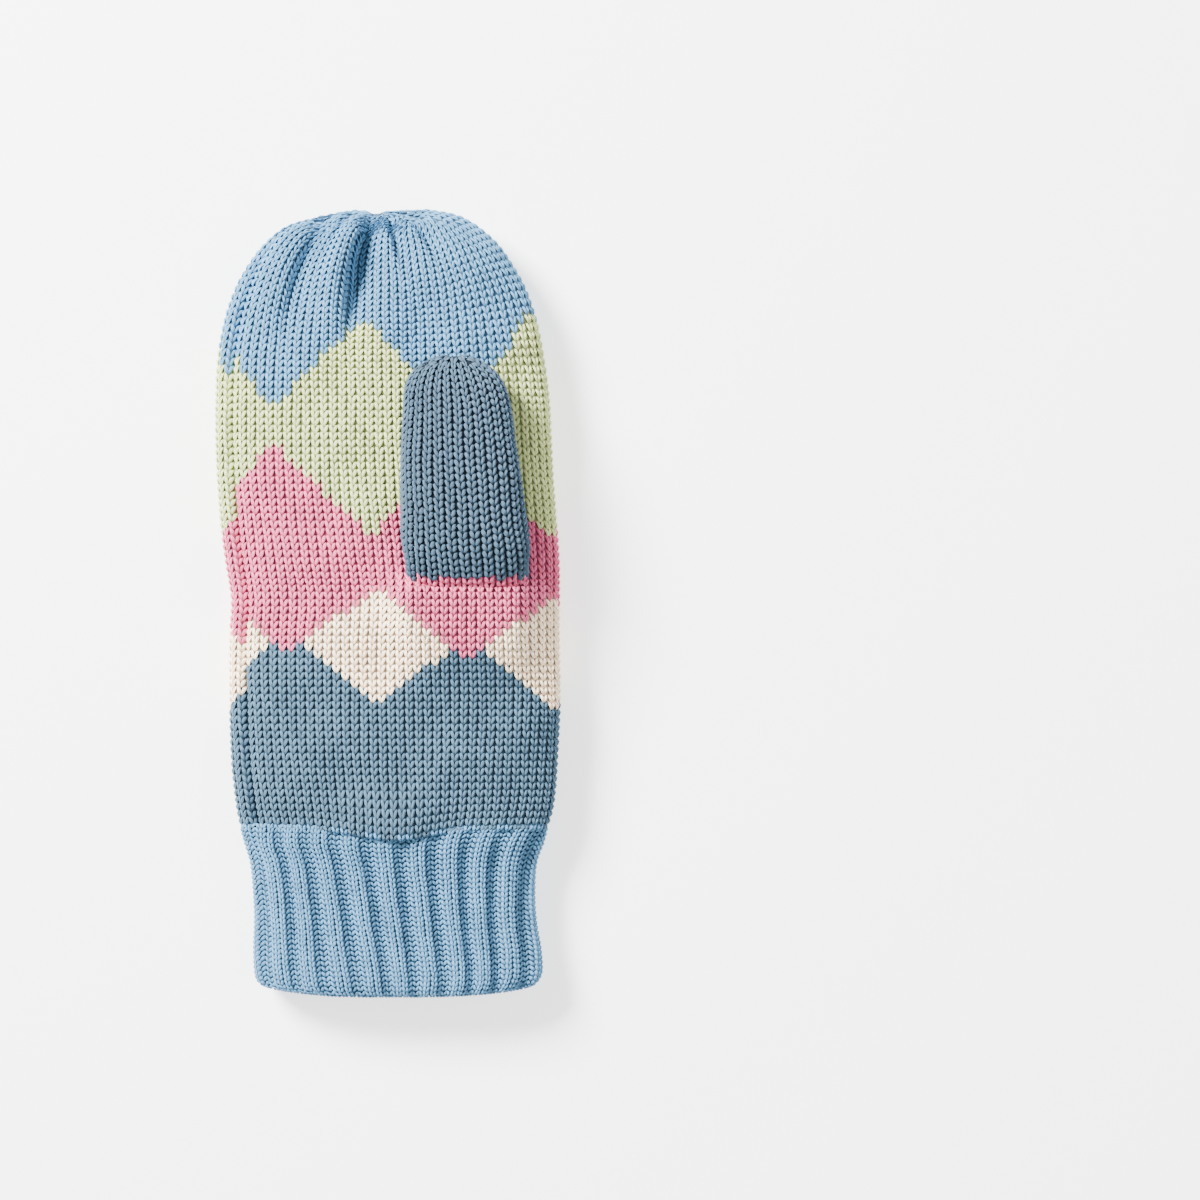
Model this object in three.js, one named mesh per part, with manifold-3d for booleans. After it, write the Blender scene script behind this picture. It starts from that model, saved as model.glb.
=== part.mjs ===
// A fleece-lined knitted mitten for the right hand, lying on its back with the palm up.
// Millimetres. +Y points to the fingertips, +Z up out of the palm, +X to the thumb's side.
// The origin is the middle of the bounding box, on the surface that the mitten lies on.
import * as THREE from "three";
import { mergeVertices } from "three/addons/utils/BufferGeometryUtils.js";
import Module from "manifold-3d";

const wasm = await Module();
wasm.setup();

// Sizes of the hand, from the join with the cuff to the top of the crown
const HAND_LENGTH = 204;
const HAND_WIDTH = 110.5;
const HAND_THICKNESS = 24;
const HAND_WALL = 3.2;
const CROWN_WALL = 13;
const HAND_EDGE_HEIGHT = 10.8;

// Sizes of the side seam, on the little finger's side
const SEAM_WRAP = 9.3;
const SEAM_DEPTH = 0.9;
const SEAM_HALF_WIDTH = 1.6;

// Sizes of the gathers in the crown
const GATHER_X = -3.6;
const PLEAT_DEPTH = 3.6;
const PLEAT_WIDTH = 2.4;
const NOTCH_DEPTH = 1.3;
const NOTCH_WIDTH = 5;

// Sizes of the thumb, from the pick-up row at its base to its tip
const THUMB_LENGTH = 78.2;
const THUMB_WIDTH = 41;
const THUMB_THICKNESS = 15;
const THUMB_WALL = 2.8;
const THUMB_TIP_WALL = 6;
const THUMB_X = 25.7;
const THUMB_BASE_FROM_JOIN = 77.2;
const THUMB_DRAPE = 0.7;
const THUMB_REACH = 1.4;

// Sizes of the swelling in the palm that leads up to the thumb
const HEEL_RISE = 5.4;
const HEEL_LENGTH = 40;
const HEEL_FALL = 7;
const HEEL_SIDE = 9;

// Sizes of the ribbed cuff, from its foot to the join with the hand
const CUFF_LENGTH = 56;
const CUFF_WIDTH = 96.4;
const CUFF_THICKNESS = 20;
const CUFF_WALL = 2.6;
const CUFF_EDGE_HEIGHT = 9;
const RIB_COUNT = 20;
const RIB_DEPTH = 1.7;
const FOOT_BOW = 3.2;

// The hand hangs a little over the cuff in the middle of the palm
const BLOUSE_SAG = 2;
const BLOUSE_RISE = 1.2;
const BLOUSE_HALF_WIDTH = 17;
const BLOUSE_LENGTH = 16;

// Running gap between pieces that touch
const GAP = 0.3;

// Fineness of the meshes
const HAND_COLUMNS = 52;
const HAND_RINGS_PER_ROW = 1.6;
const HOLLOW_RINGS_PER_ROW = 0.6;
const THUMB_RINGS_PER_ROW = 1.4;
const THUMB_COLUMNS = 34;
const POINTS_PER_RIB = 6;
const SECTION_SAMPLES = 240;
const FLATNESS = 2.8;

const LENGTH = HAND_LENGTH + CUFF_LENGTH;
const JOIN_Y = CUFF_LENGTH - LENGTH / 2;
const THUMB_BASE_Y = JOIN_Y + THUMB_BASE_FROM_JOIN;

// Sections of the hand: at is a share of its length, left and right of its width,
// top and floor of its thickness. A floor under 0 is pressed flat where it rests.
const HAND_SECTIONS = [
  { at: 0, left: -0.439, right: 0.476, top: 0.84, floor: -0.03 },
  { at: 0.025, left: -0.449, right: 0.49, top: 0.87, floor: -0.04 },
  { at: 0.058, left: -0.457, right: 0.499, top: 0.9, floor: -0.05 },
  { at: 0.107, left: -0.466, right: 0.505, top: 0.93, floor: -0.05 },
  { at: 0.204, left: -0.472, right: 0.513, top: 0.97, floor: -0.05 },
  { at: 0.301, left: -0.472, right: 0.511, top: 1, floor: -0.05 },
  { at: 0.366, left: -0.466, right: 0.511, top: 1, floor: -0.05 },
  { at: 0.43, left: -0.484, right: 0.51, top: 1, floor: -0.05 },
  { at: 0.495, left: -0.499, right: 0.502, top: 1, floor: -0.05 },
  { at: 0.56, left: -0.508, right: 0.493, top: 1, floor: -0.05 },
  { at: 0.625, left: -0.513, right: 0.487, top: 1, floor: -0.05 },
  { at: 0.689, left: -0.513, right: 0.481, top: 1, floor: -0.05 },
  { at: 0.754, left: -0.508, right: 0.466, top: 0.99, floor: -0.05 },
  { at: 0.819, left: -0.487, right: 0.442, top: 0.97, floor: -0.04 },
  { at: 0.871, left: -0.454, right: 0.409, top: 0.94, floor: -0.03 },
  { at: 0.909, left: -0.415, right: 0.37, top: 0.91, floor: -0.01 },
  { at: 0.939, left: -0.372, right: 0.332, top: 0.87, floor: 0.02 },
  { at: 0.961, left: -0.322, right: 0.29, top: 0.82, floor: 0.07 },
  { at: 0.977, left: -0.255, right: 0.25, top: 0.76, floor: 0.13 },
  { at: 0.989, left: -0.178, right: 0.2, top: 0.68, floor: 0.21 },
  { at: 0.997, left: -0.1, right: 0.125, top: 0.58, floor: 0.31 },
];

// Gathers of the crown: x is a share of the hand's width, at of its length,
// depth of the pleat depth and width of the pleat width.
const PALM_PLEATS = [
  { x: [-0.042, -0.099, -0.11], at: [0.995, 0.835], depth: 1, width: 1, roll: 0.45 },
  { x: [-0.009, 0.022, 0.05], at: [0.99, 0.915], depth: 0.6, width: 1.1, roll: 0.1 },
  { x: [0.03, 0.107, 0.16], at: [0.99, 0.94], depth: 0.5, width: 1.2, roll: 0.1 },
  { x: [-0.2, -0.288, -0.325], at: [0.98, 0.84], depth: 0.65, width: 1.1, roll: 0.3 },
  { x: [-0.08, -0.14, -0.16], at: [0.99, 0.94], depth: 0.25, width: 1, roll: 0.1 },
];
const BACK_PLEATS = [
  { x: [-0.05, -0.12, -0.15], at: [0.99, 0.86], depth: 0.6, width: 1.2, roll: 0.2 },
  { x: [0, 0.06, 0.08], at: [0.99, 0.88], depth: 0.8, width: 1.1, roll: 0.3 },
  { x: [0.05, 0.17, 0.23], at: [0.98, 0.9], depth: 0.5, width: 1.2, roll: 0.2 },
];

// Sections of the thumb, from inside the hand to the tip. frontAt and backAt are shares of its
// length for its upper and lower line, left and right of its width, front and back of its
// thickness above the palm, into of the way down through the palm's wall.
const THUMB_SECTIONS = [
  { frontAt: -0.06, backAt: 0.22, left: -0.42, right: 0.452, front: -0.1, back: 0, into: 1 },
  { frontAt: -0.035, backAt: 0.225, left: -0.42, right: 0.452, front: 0.12, back: 0, into: 0.3 },
  { frontAt: -0.005, backAt: 0.235, left: -0.425, right: 0.456, front: 0.29, back: 0, into: 0 },
  { frontAt: 0.035, backAt: 0.25, left: -0.44, right: 0.472, front: 0.5, back: 0, into: 0 },
  { frontAt: 0.1, backAt: 0.27, left: -0.47, right: 0.496, front: 0.72, back: 0, into: 0 },
  { frontAt: 0.2, backAt: 0.31, left: -0.5, right: 0.498, front: 0.89, back: 0, into: 0 },
  { frontAt: 0.34, backAt: 0.385, left: -0.5, right: 0.472, front: 0.97, back: 0, into: 0 },
  { frontAt: 0.48, backAt: 0.48, left: -0.505, right: 0.444, front: 1, back: 0, into: 0 },
  { frontAt: 0.62, backAt: 0.62, left: -0.497, right: 0.4, front: 0.98, back: 0, into: 0 },
  { frontAt: 0.75, backAt: 0.75, left: -0.485, right: 0.369, front: 0.93, back: 0.01, into: 0 },
  { frontAt: 0.85, backAt: 0.85, left: -0.474, right: 0.325, front: 0.84, back: 0.03, into: 0 },
  { frontAt: 0.92, backAt: 0.915, left: -0.423, right: 0.25, front: 0.73, back: 0.08, into: 0 },
  { frontAt: 0.965, backAt: 0.957, left: -0.325, right: 0.15, front: 0.61, back: 0.16, into: 0 },
  { frontAt: 0.99, backAt: 0.982, left: -0.21, right: 0.05, front: 0.5, back: 0.26, into: 0 },
];
const THUMB_TIP = { x: -0.08, height: 0.4 };

// Sections of the cuff under the join: at is a share of its length down from the join, left and
// right of its width, top and floor of its thickness, rib of the rib depth, bow of the foot bow.
const CUFF_SECTIONS = [
  { at: 0.1, left: -0.49, right: 0.532, top: 1.04, floor: -0.02, rib: 0.7, bow: 0.02 },
  { at: 0.22, left: -0.47, right: 0.508, top: 1, floor: -0.03, rib: 0.95, bow: 0.05 },
  { at: 0.4, left: -0.46, right: 0.502, top: 0.98, floor: -0.04, rib: 1, bow: 0.15 },
  { at: 0.58, left: -0.457, right: 0.508, top: 0.98, floor: -0.04, rib: 1, bow: 0.35 },
  { at: 0.76, left: -0.46, right: 0.525, top: 1, floor: -0.04, rib: 0.95, bow: 0.6 },
  { at: 0.9, left: -0.457, right: 0.53, top: 1.02, floor: -0.04, rib: 0.8, bow: 0.85 },
  { at: 0.965, left: -0.448, right: 0.516, top: 0.99, floor: -0.02, rib: 0.65, bow: 0.97 },
  { at: 1, left: -0.425, right: 0.494, top: 0.92, floor: 0.02, rib: 0.5, bow: 1 },
];

// How far each rib of the palm side stands off its even place, in rib pitches
const RIB_LEAN = [
  { rib: 0, atTop: 0, atFoot: 0.3 },
  { rib: 1, atTop: 0.1, atFoot: 0.4 },
  { rib: 2, atTop: -0.1, atFoot: 0.3 },
  { rib: 3, atTop: -0.25, atFoot: 0.35 },
  { rib: 4, atTop: -0.3, atFoot: 0.35 },
  { rib: 5, atTop: -0.25, atFoot: 0.2 },
  { rib: 6, atTop: -0.2, atFoot: 0.12 },
  { rib: 7, atTop: -0.15, atFoot: 0.02 },
  { rib: 8, atTop: -0.15, atFoot: -0.2 },
  { rib: 9, atTop: -0.12, atFoot: -0.35 },
  { rib: 10, atTop: 0, atFoot: -0.3 },
];

// Small curves used by all pieces

function clamp01(value) {
  return Math.min(1, Math.max(0, value));
}

function ease(from, to, value) {
  const share = clamp01((value - from) / (to - from));
  return share * share * (3 - 2 * share);
}

function bell(distance, width) {
  return Math.exp(-((distance / width) ** 2));
}

// One column of a table as a smooth curve through its rows, at row position t
function column(rows, name, t) {
  const last = rows.length - 1;
  const row = Math.min(last - 1, Math.max(0, Math.floor(t)));
  const share = t - row;
  const p1 = rows[row][name];
  const p2 = rows[row + 1][name];
  const p0 = row > 0 ? rows[row - 1][name] : 2 * p1 - p2;
  const p3 = row + 1 < last ? rows[row + 2][name] : 2 * p2 - p1;
  const slope1 = (p2 - p0) / 2;
  const slope2 = (p3 - p1) / 2;
  const drop = p1 - p2;
  const cubic = 2 * drop + slope1 + slope2;
  const square = -3 * drop - 2 * slope1 - slope2;
  return ((cubic * share + square) * share + slope1) * share + p1;
}

function rowAt(rows, t) {
  const made = {};
  for (const name of Object.keys(rows[0])) made[name] = column(rows, name, t);
  return made;
}

// Row positions with so many rings for each row of a table
function positions(rows, perRow) {
  const count = Math.round((rows.length - 1) * perRow);
  return Array.from({ length: count + 1 }, (_, k) => (k * (rows.length - 1)) / count);
}

// A rounded section, walked from its left edge over the palm side and back under it.
// Returns x, z and the outward normal at each share of its perimeter.
function walkSection(row, shares, start) {
  const centre = (row.left + row.right) / 2;
  const half = (row.right - row.left) / 2;
  const xs = [];
  const zs = [];
  const lengths = [0];
  for (let k = 0; k <= SECTION_SAMPLES; k++) {
    const angle = Math.PI - (2 * Math.PI * k) / SECTION_SAMPLES;
    const c = Math.cos(angle);
    const s = Math.sin(angle);
    const height = s > 0 ? row.top - row.edge : row.edge - row.floor;
    xs.push(centre + half * Math.sign(c) * Math.abs(c) ** (2 / FLATNESS));
    zs.push(row.edge + height * Math.sign(s) * Math.abs(s) ** (2 / FLATNESS));
    if (k > 0) lengths.push(lengths[k - 1] + Math.hypot(xs[k] - xs[k - 1], zs[k] - zs[k - 1]));
  }
  const total = lengths[SECTION_SAMPLES];
  return shares.map((share) => {
    const wanted = ((((share + start) % 1) + 1) % 1) * total;
    let k = 1;
    while (k < SECTION_SAMPLES && lengths[k] < wanted) k++;
    const step = lengths[k] - lengths[k - 1];
    const part = (wanted - lengths[k - 1]) / step;
    const dx = xs[k] - xs[k - 1];
    const dz = zs[k] - zs[k - 1];
    return {
      share,
      x: xs[k - 1] + part * dx,
      z: zs[k - 1] + part * dz,
      nx: -dz / step,
      nz: dx / step,
    };
  });
}

function evenShares(count) {
  return Array.from({ length: count }, (_, k) => k / count);
}

// A closed surface through a row of rings. A ring of one point is a pole; a loop joins its ends.
function skin(rings, isLoop) {
  const places = rings.flat();
  const starts = [];
  let start = 0;
  for (const ring of rings) {
    starts.push(start);
    start += ring.length;
  }
  const faces = [];
  const bands = isLoop ? rings.length : rings.length - 1;
  for (let k = 0; k < bands; k++) {
    const here = rings[k];
    const next = rings[(k + 1) % rings.length];
    const a = starts[k];
    const b = starts[(k + 1) % rings.length];
    const count = Math.max(here.length, next.length);
    for (let j = 0; j < count; j++) {
      const j2 = (j + 1) % count;
      if (here.length === 1) faces.push(a, b + j, b + j2);
      else if (next.length === 1) faces.push(a + j, b, a + j2);
      else faces.push(a + j, b + j, a + j2, a + j2, b + j, b + j2);
    }
  }
  const geometry = new THREE.BufferGeometry();
  const numbers = places.flatMap((p) => [p.x, p.y, p.z]);
  geometry.setAttribute("position", new THREE.Float32BufferAttribute(numbers, 3));
  geometry.setIndex(faces);
  return geometry;
}

function toSolid(geometry) {
  const merged = mergeVertices(geometry, 1e-4);
  return new wasm.Manifold(
    new wasm.Mesh({
      numProp: 3,
      vertProperties: merged.attributes.position.array,
      triVerts: new Uint32Array(merged.index.array),
    }),
  );
}

function toGeometry(solid) {
  const mesh = solid.getMesh();
  const geometry = new THREE.BufferGeometry();
  geometry.setAttribute("position", new THREE.BufferAttribute(mesh.vertProperties, 3));
  geometry.setIndex(new THREE.BufferAttribute(mesh.triVerts, 1));
  return geometry;
}

// Hand

const handRows = HAND_SECTIONS.map((row) => ({
  y: JOIN_Y + row.at * HAND_LENGTH,
  left: row.left * HAND_WIDTH,
  right: row.right * HAND_WIDTH,
  top: row.top * HAND_THICKNESS,
  floor: row.floor * HAND_THICKNESS,
  edge: HAND_EDGE_HEIGHT,
}));
const HAND_PERIMETER = 2 * (HAND_WIDTH + HAND_THICKNESS) - HAND_THICKNESS;
const SEAM_START = SEAM_WRAP / HAND_PERIMETER;

// The row position of the hand at a height y along it
function handRowPosition(y) {
  let t = 0;
  while (t < handRows.length - 2 && handRows[t + 1].y < y) t++;
  const low = handRows[t].y;
  return t + (y - low) / (handRows[t + 1].y - low);
}

// Height of the plain palm over a point
function palmHeight(x, y) {
  const row = rowAt(handRows, handRowPosition(y));
  const centre = (row.left + row.right) / 2;
  const half = (row.right - row.left) / 2;
  const off = clamp01(Math.abs(x - centre) / half);
  return row.edge + (row.top - row.edge) * (1 - off ** FLATNESS) ** (1 / FLATNESS);
}

// Depth of the gathers over a point of the crown
function pleatDepth(pleats, x, y) {
  const at = (y - JOIN_Y) / HAND_LENGTH;
  let depth = 0;
  for (const pleat of pleats) {
    const share = (pleat.at[0] - at) / (pleat.at[0] - pleat.at[1]);
    if (share <= 0 || share >= 1) continue;
    const [first, middle, last] = pleat.x;
    const bend = 4 * middle - 3 * first - last;
    const curve = 2 * first - 4 * middle + 2 * last;
    const line = (first + bend * share + curve * share * share) * HAND_WIDTH;
    const width = pleat.width * PLEAT_WIDTH;
    const strength = pleat.depth * PLEAT_DEPTH * Math.sin(Math.PI * share ** 0.6);
    const valley = bell(x - line, width);
    const roll = pleat.roll * bell(x - line + 2 * width, 1.3 * width);
    depth += strength * (valley - roll);
  }
  return depth;
}

// The palm swells towards the lower edge of the thumb's opening
function heelRise(x, y) {
  const left = THUMB_X - THUMB_WIDTH / 2;
  const right = THUMB_X + THUMB_WIDTH / 2;
  const fromLeft = ease(left - HEEL_SIDE, left + HEEL_SIDE / 2, x);
  const fromRight = ease(right + HEEL_SIDE, right - HEEL_SIDE / 2, x);
  const up = ease(THUMB_BASE_Y - HEEL_LENGTH, THUMB_BASE_Y, y);
  const down = ease(THUMB_BASE_Y + HEEL_FALL, THUMB_BASE_Y, y);
  return HEEL_RISE * fromLeft * fromRight * up * down;
}

// How far a point of the palm's lower edge hangs over the cuff
function blouse(x, y) {
  return bell(x - CUFF_CENTRE, BLOUSE_HALF_WIDTH) * ease(JOIN_Y + BLOUSE_LENGTH, JOIN_Y, y);
}

function handRing(t, shares) {
  const row = rowAt(handRows, t);
  return walkSection(row, shares, SEAM_START).map((p) => {
    const isPalm = p.z > row.edge;
    const upper = ease(0, 0.6, (p.z - row.edge) / (row.top - row.edge));
    const lower = ease(0, 0.6, (row.edge - p.z) / (row.edge - row.floor));
    const nearSeam = Math.min(p.share, 1 - p.share) * HAND_PERIMETER;
    const seamFade = ease(1, 0.8, t / (handRows.length - 1));
    const groove = SEAM_DEPTH * seamFade * bell(nearSeam, SEAM_HALF_WIDTH / 2);
    const x = p.x - p.nx * groove;
    let z = p.z - p.nz * groove;
    z -= upper * pleatDepth(PALM_PLEATS, p.x, row.y);
    z += lower * pleatDepth(BACK_PLEATS, p.x, row.y);
    if (isPalm) z += upper * (heelRise(p.x, row.y) + BLOUSE_RISE * blouse(p.x, row.y));
    const nearTip = ease(0.96, 1, (row.y - JOIN_Y) / HAND_LENGTH);
    const notch = NOTCH_DEPTH * bell(p.x - GATHER_X, NOTCH_WIDTH) * nearTip;
    const sag = isPalm ? upper * BLOUSE_SAG * blouse(p.x, row.y) : 0;
    return new THREE.Vector3(x, row.y - notch - sag, Math.max(0, z));
  });
}

function handHollowRing(t, shares) {
  const row = rowAt(handRows, t);
  const narrow = 1 - HAND_WALL / (HAND_WIDTH / 2);
  const upperThin = 1 - HAND_WALL / (HAND_THICKNESS - HAND_EDGE_HEIGHT);
  const lowerThin = 1 - HAND_WALL / HAND_EDGE_HEIGHT;
  const short = (HAND_LENGTH - CROWN_WALL) / HAND_LENGTH;
  const y = JOIN_Y + (row.y - JOIN_Y) * short;
  const centre = (row.left + row.right) / 2;
  const inner = {
    left: centre + (row.left - centre) * narrow,
    right: centre + (row.right - centre) * narrow,
    top: row.edge + (row.top - row.edge) * upperThin,
    floor: row.edge - (row.edge - row.floor) * lowerThin,
    edge: row.edge,
  };
  return walkSection(inner, shares, SEAM_START).map((p) => {
    const isPalm = p.z > row.edge;
    const upper = ease(0, 0.6, (p.z - inner.edge) / (inner.top - inner.edge));
    const rise = isPalm ? upper * (heelRise(p.x, y) + BLOUSE_RISE * blouse(p.x, y)) : 0;
    const sag = isPalm ? upper * BLOUSE_SAG * blouse(p.x, y) : 0;
    return new THREE.Vector3(p.x, y - sag, Math.max(HAND_WALL, p.z) + rise);
  });
}

function handShell() {
  const flank = SEAM_HALF_WIDTH / HAND_PERIMETER;
  const shares = [0, flank, ...evenShares(HAND_COLUMNS).slice(1), 1 - flank];
  const crown = new THREE.Vector3(GATHER_X, JOIN_Y + HAND_LENGTH - NOTCH_DEPTH, HAND_EDGE_HEIGHT);
  const hollowEnd = new THREE.Vector3(0, JOIN_Y + HAND_LENGTH - CROWN_WALL, HAND_EDGE_HEIGHT);
  const outer = positions(handRows, HAND_RINGS_PER_ROW).map((t) => handRing(t, shares));
  const inner = positions(handRows, HOLLOW_RINGS_PER_ROW).map((t) => handHollowRing(t, shares));
  return skin([[crown], ...outer.reverse(), ...inner, [hollowEnd]], false);
}

// Thumb

const THUMB_REST_Z = HAND_THICKNESS + GAP;
const THUMB_INTO = HAND_WALL + THUMB_REACH;
const thumbRows = THUMB_SECTIONS.map((row) => ({
  frontY: THUMB_BASE_Y + row.frontAt * THUMB_LENGTH,
  backY: THUMB_BASE_Y + row.backAt * THUMB_LENGTH,
  left: THUMB_X + row.left * THUMB_WIDTH,
  right: THUMB_X + row.right * THUMB_WIDTH,
  front: THUMB_REST_Z + row.front * THUMB_THICKNESS - row.into * THUMB_INTO,
  back: THUMB_REST_Z + row.back * THUMB_THICKNESS - row.into * THUMB_INTO,
}));

// A ring of the thumb: a rounded section between its upper and its lower line, laid on the
// palm. grow widens it, and thin makes it the hollow.
function thumbRing(t, shares, grow, thin) {
  const row = rowAt(thumbRows, t);
  const middleY = (row.frontY + row.backY) / 2;
  const middleZ = (row.front + row.back) / 2;
  const thick = Math.hypot(row.frontY - row.backY, row.front - row.back);
  const upY = (row.frontY - row.backY) / thick;
  const upZ = (row.front - row.back) / thick;
  const half = thick / 2 + grow;
  const flat = {
    left: row.left - grow + thin,
    right: row.right + grow - thin,
    top: half - thin,
    floor: thin - half,
    edge: 0,
  };
  return walkSection(flat, shares, 0).map((p) => {
    const y = middleY + p.z * upY;
    const drape = THUMB_DRAPE * (palmHeight(p.x, y) - HAND_THICKNESS);
    return new THREE.Vector3(p.x, y, middleZ + p.z * upZ + drape);
  });
}

function thumbPole(reach) {
  const x = THUMB_X + THUMB_TIP.x * THUMB_WIDTH;
  const y = THUMB_BASE_Y + reach;
  const drape = THUMB_DRAPE * (palmHeight(x, y) - HAND_THICKNESS);
  return new THREE.Vector3(x, y, THUMB_REST_Z + THUMB_TIP.height * THUMB_THICKNESS + drape);
}

function thumbShell() {
  const shares = evenShares(THUMB_COLUMNS);
  const outer = positions(thumbRows, THUMB_RINGS_PER_ROW).map((t) => thumbRing(t, shares, 0, 0));
  const lastHollowY = THUMB_BASE_Y + THUMB_LENGTH - 2 * THUMB_TIP_WALL;
  const hollowSteps = positions(thumbRows, 1).filter((t) => rowAt(thumbRows, t).frontY < lastHollowY);
  const inner = hollowSteps.map((t) => thumbRing(t, shares, 0, THUMB_WALL));
  const tip = thumbPole(THUMB_LENGTH);
  const hollowEnd = thumbPole(THUMB_LENGTH - THUMB_TIP_WALL);
  return skin([[tip], ...outer.reverse(), ...inner, [hollowEnd]], false);
}

// The room that the thumb takes up in the hand, with its gap
function thumbRoom() {
  const shares = evenShares(THUMB_COLUMNS);
  const outer = positions(thumbRows, THUMB_RINGS_PER_ROW).map((t) => thumbRing(t, shares, GAP, 0));
  const tip = thumbPole(THUMB_LENGTH + GAP);
  const base = new THREE.Vector3();
  for (const p of outer[0]) base.addScaledVector(p, 1 / outer[0].length);
  base.z -= GAP;
  return skin([[tip], ...outer.reverse(), [base]], false);
}

// Cuff

const CUFF_CENTRE = ((HAND_SECTIONS[0].left + HAND_SECTIONS[0].right) / 2) * HAND_WIDTH;
const joinRow = {
  y: JOIN_Y - GAP,
  left: handRows[0].left,
  right: handRows[0].right,
  top: handRows[0].top,
  floor: handRows[0].floor,
  edge: HAND_EDGE_HEIGHT,
  rib: 0.3 * RIB_DEPTH,
  bow: 0,
};
const cuffRows = [
  joinRow,
  ...CUFF_SECTIONS.map((row) => ({
    y: JOIN_Y - row.at * CUFF_LENGTH,
    left: row.left * CUFF_WIDTH,
    right: row.right * CUFF_WIDTH,
    top: row.top * CUFF_THICKNESS,
    floor: row.floor * CUFF_THICKNESS,
    edge: CUFF_EDGE_HEIGHT,
    rib: row.rib * RIB_DEPTH,
    bow: row.bow * FOOT_BOW,
  })),
];

// How far the ribs stand off their even places at a share of the way round
function ribLean(share, down) {
  const half = share < 0.5 ? share * 2 : 2 - share * 2;
  const t = half * (RIB_LEAN.length - 1);
  const top = column(RIB_LEAN, "atTop", t);
  const foot = column(RIB_LEAN, "atFoot", t);
  return (top + (foot - top) * down) / RIB_COUNT;
}

// Height of the ribbing at a share of the way round, from 0 on a crest to -1 in a valley.
// The crests are a little broader than the valleys.
function ribHeight(share) {
  const wave = Math.cos(2 * Math.PI * RIB_COUNT * share);
  return (wave - 1) / 2 + (1 - wave * wave) / 8;
}

function cuffRing(t, inset) {
  const row = rowAt(cuffRows, t);
  const count = RIB_COUNT * POINTS_PER_RIB;
  const down = clamp01((JOIN_Y - row.y) / CUFF_LENGTH);
  const shares = evenShares(count).map((share) => share + ribLean(share, down));
  const centre = (row.left + row.right) / 2;
  const half = (row.right - row.left) / 2;
  return walkSection(row, shares, 0).map((p, index) => {
    const out = row.rib * ribHeight(index / count) - inset;
    const x = p.x + p.nx * out;
    const z = p.z + p.nz * out;
    const across = clamp01(Math.abs(p.x - centre) / half);
    const bow = row.bow * across ** 3;
    const isPalm = p.z > row.edge;
    const upper = ease(0, 0.6, (p.z - row.edge) / (row.top - row.edge));
    const joined = 1 - clamp01(t);
    const sag = isPalm ? upper * BLOUSE_SAG * blouse(p.x, JOIN_Y) * joined : 0;
    return new THREE.Vector3(x, row.y + bow - sag, Math.max(inset, z));
  });
}

function cuffShell() {
  const steps = positions(cuffRows, 1);
  const outer = steps.map((t) => cuffRing(t, 0));
  const inner = steps.map((t) => cuffRing(t, CUFF_WALL));
  return skin([...outer, ...inner.reverse()], true);
}

// Finishes, from the yarns that show
const KNIT_SAGE = new THREE.MeshStandardMaterial({ color: 0xc3d0ae, roughness: 0.9, metalness: 0 });
const KNIT_SLATE = new THREE.MeshStandardMaterial({ color: 0x5f839c, roughness: 0.9, metalness: 0 });
const KNIT_SKY = new THREE.MeshStandardMaterial({ color: 0x9cc3de, roughness: 0.9, metalness: 0 });

function addPiece(group, name, geometry, material) {
  const flat = geometry.toNonIndexed();
  flat.computeVertexNormals();
  const mesh = new THREE.Mesh(flat, material);
  mesh.name = name;
  group.add(mesh);
}

const handSolid = toSolid(handShell()).subtract(toSolid(thumbRoom()));

const mitten = new THREE.Group();
mitten.name = "mitten";
addPiece(mitten, "hand_body", toGeometry(handSolid), KNIT_SAGE);
addPiece(mitten, "thumb", thumbShell(), KNIT_SLATE);
addPiece(mitten, "cuff", cuffShell(), KNIT_SKY);

export default mitten;
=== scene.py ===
"""A fleece-lined knitted mitten, lying palm up, dressed in its stitches.

The hand, the thumb and the cuff are smooth surfaces worked out on grids. Each is covered with
knit stitches: two yarn legs that make a V, set one above the other in wales, over a ground of
the same yarns, darkened as painted shade, that shows in the gaps. Lengths inside the classes
are in millimetres, and a mesh is made in metres.
"""

from __future__ import annotations

import logging
from dataclasses import dataclass, field
from enum import Enum
from typing import Any

import bpy
import numpy as np
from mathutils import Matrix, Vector
from numpy.typing import NDArray

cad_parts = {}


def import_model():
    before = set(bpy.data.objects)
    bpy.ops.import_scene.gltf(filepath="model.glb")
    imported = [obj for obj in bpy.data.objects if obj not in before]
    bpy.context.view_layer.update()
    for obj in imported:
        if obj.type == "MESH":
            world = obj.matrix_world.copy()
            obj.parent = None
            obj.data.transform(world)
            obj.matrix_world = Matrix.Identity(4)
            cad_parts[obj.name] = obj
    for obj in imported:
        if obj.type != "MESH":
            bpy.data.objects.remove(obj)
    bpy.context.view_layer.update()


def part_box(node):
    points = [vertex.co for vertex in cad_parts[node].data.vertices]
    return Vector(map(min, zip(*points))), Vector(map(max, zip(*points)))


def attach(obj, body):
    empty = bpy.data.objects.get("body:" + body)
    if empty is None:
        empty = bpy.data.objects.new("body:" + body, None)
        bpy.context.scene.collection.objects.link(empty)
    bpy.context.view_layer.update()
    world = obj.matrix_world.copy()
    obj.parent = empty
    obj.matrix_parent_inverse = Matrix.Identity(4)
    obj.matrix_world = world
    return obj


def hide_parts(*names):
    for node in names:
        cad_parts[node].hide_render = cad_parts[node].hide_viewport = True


Array = NDArray[np.float64]
Table = dict[str, Array]

MM = 0.001
GAP = 0.3
FLATNESS = 2.8
SECTION_SAMPLES = 360

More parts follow.
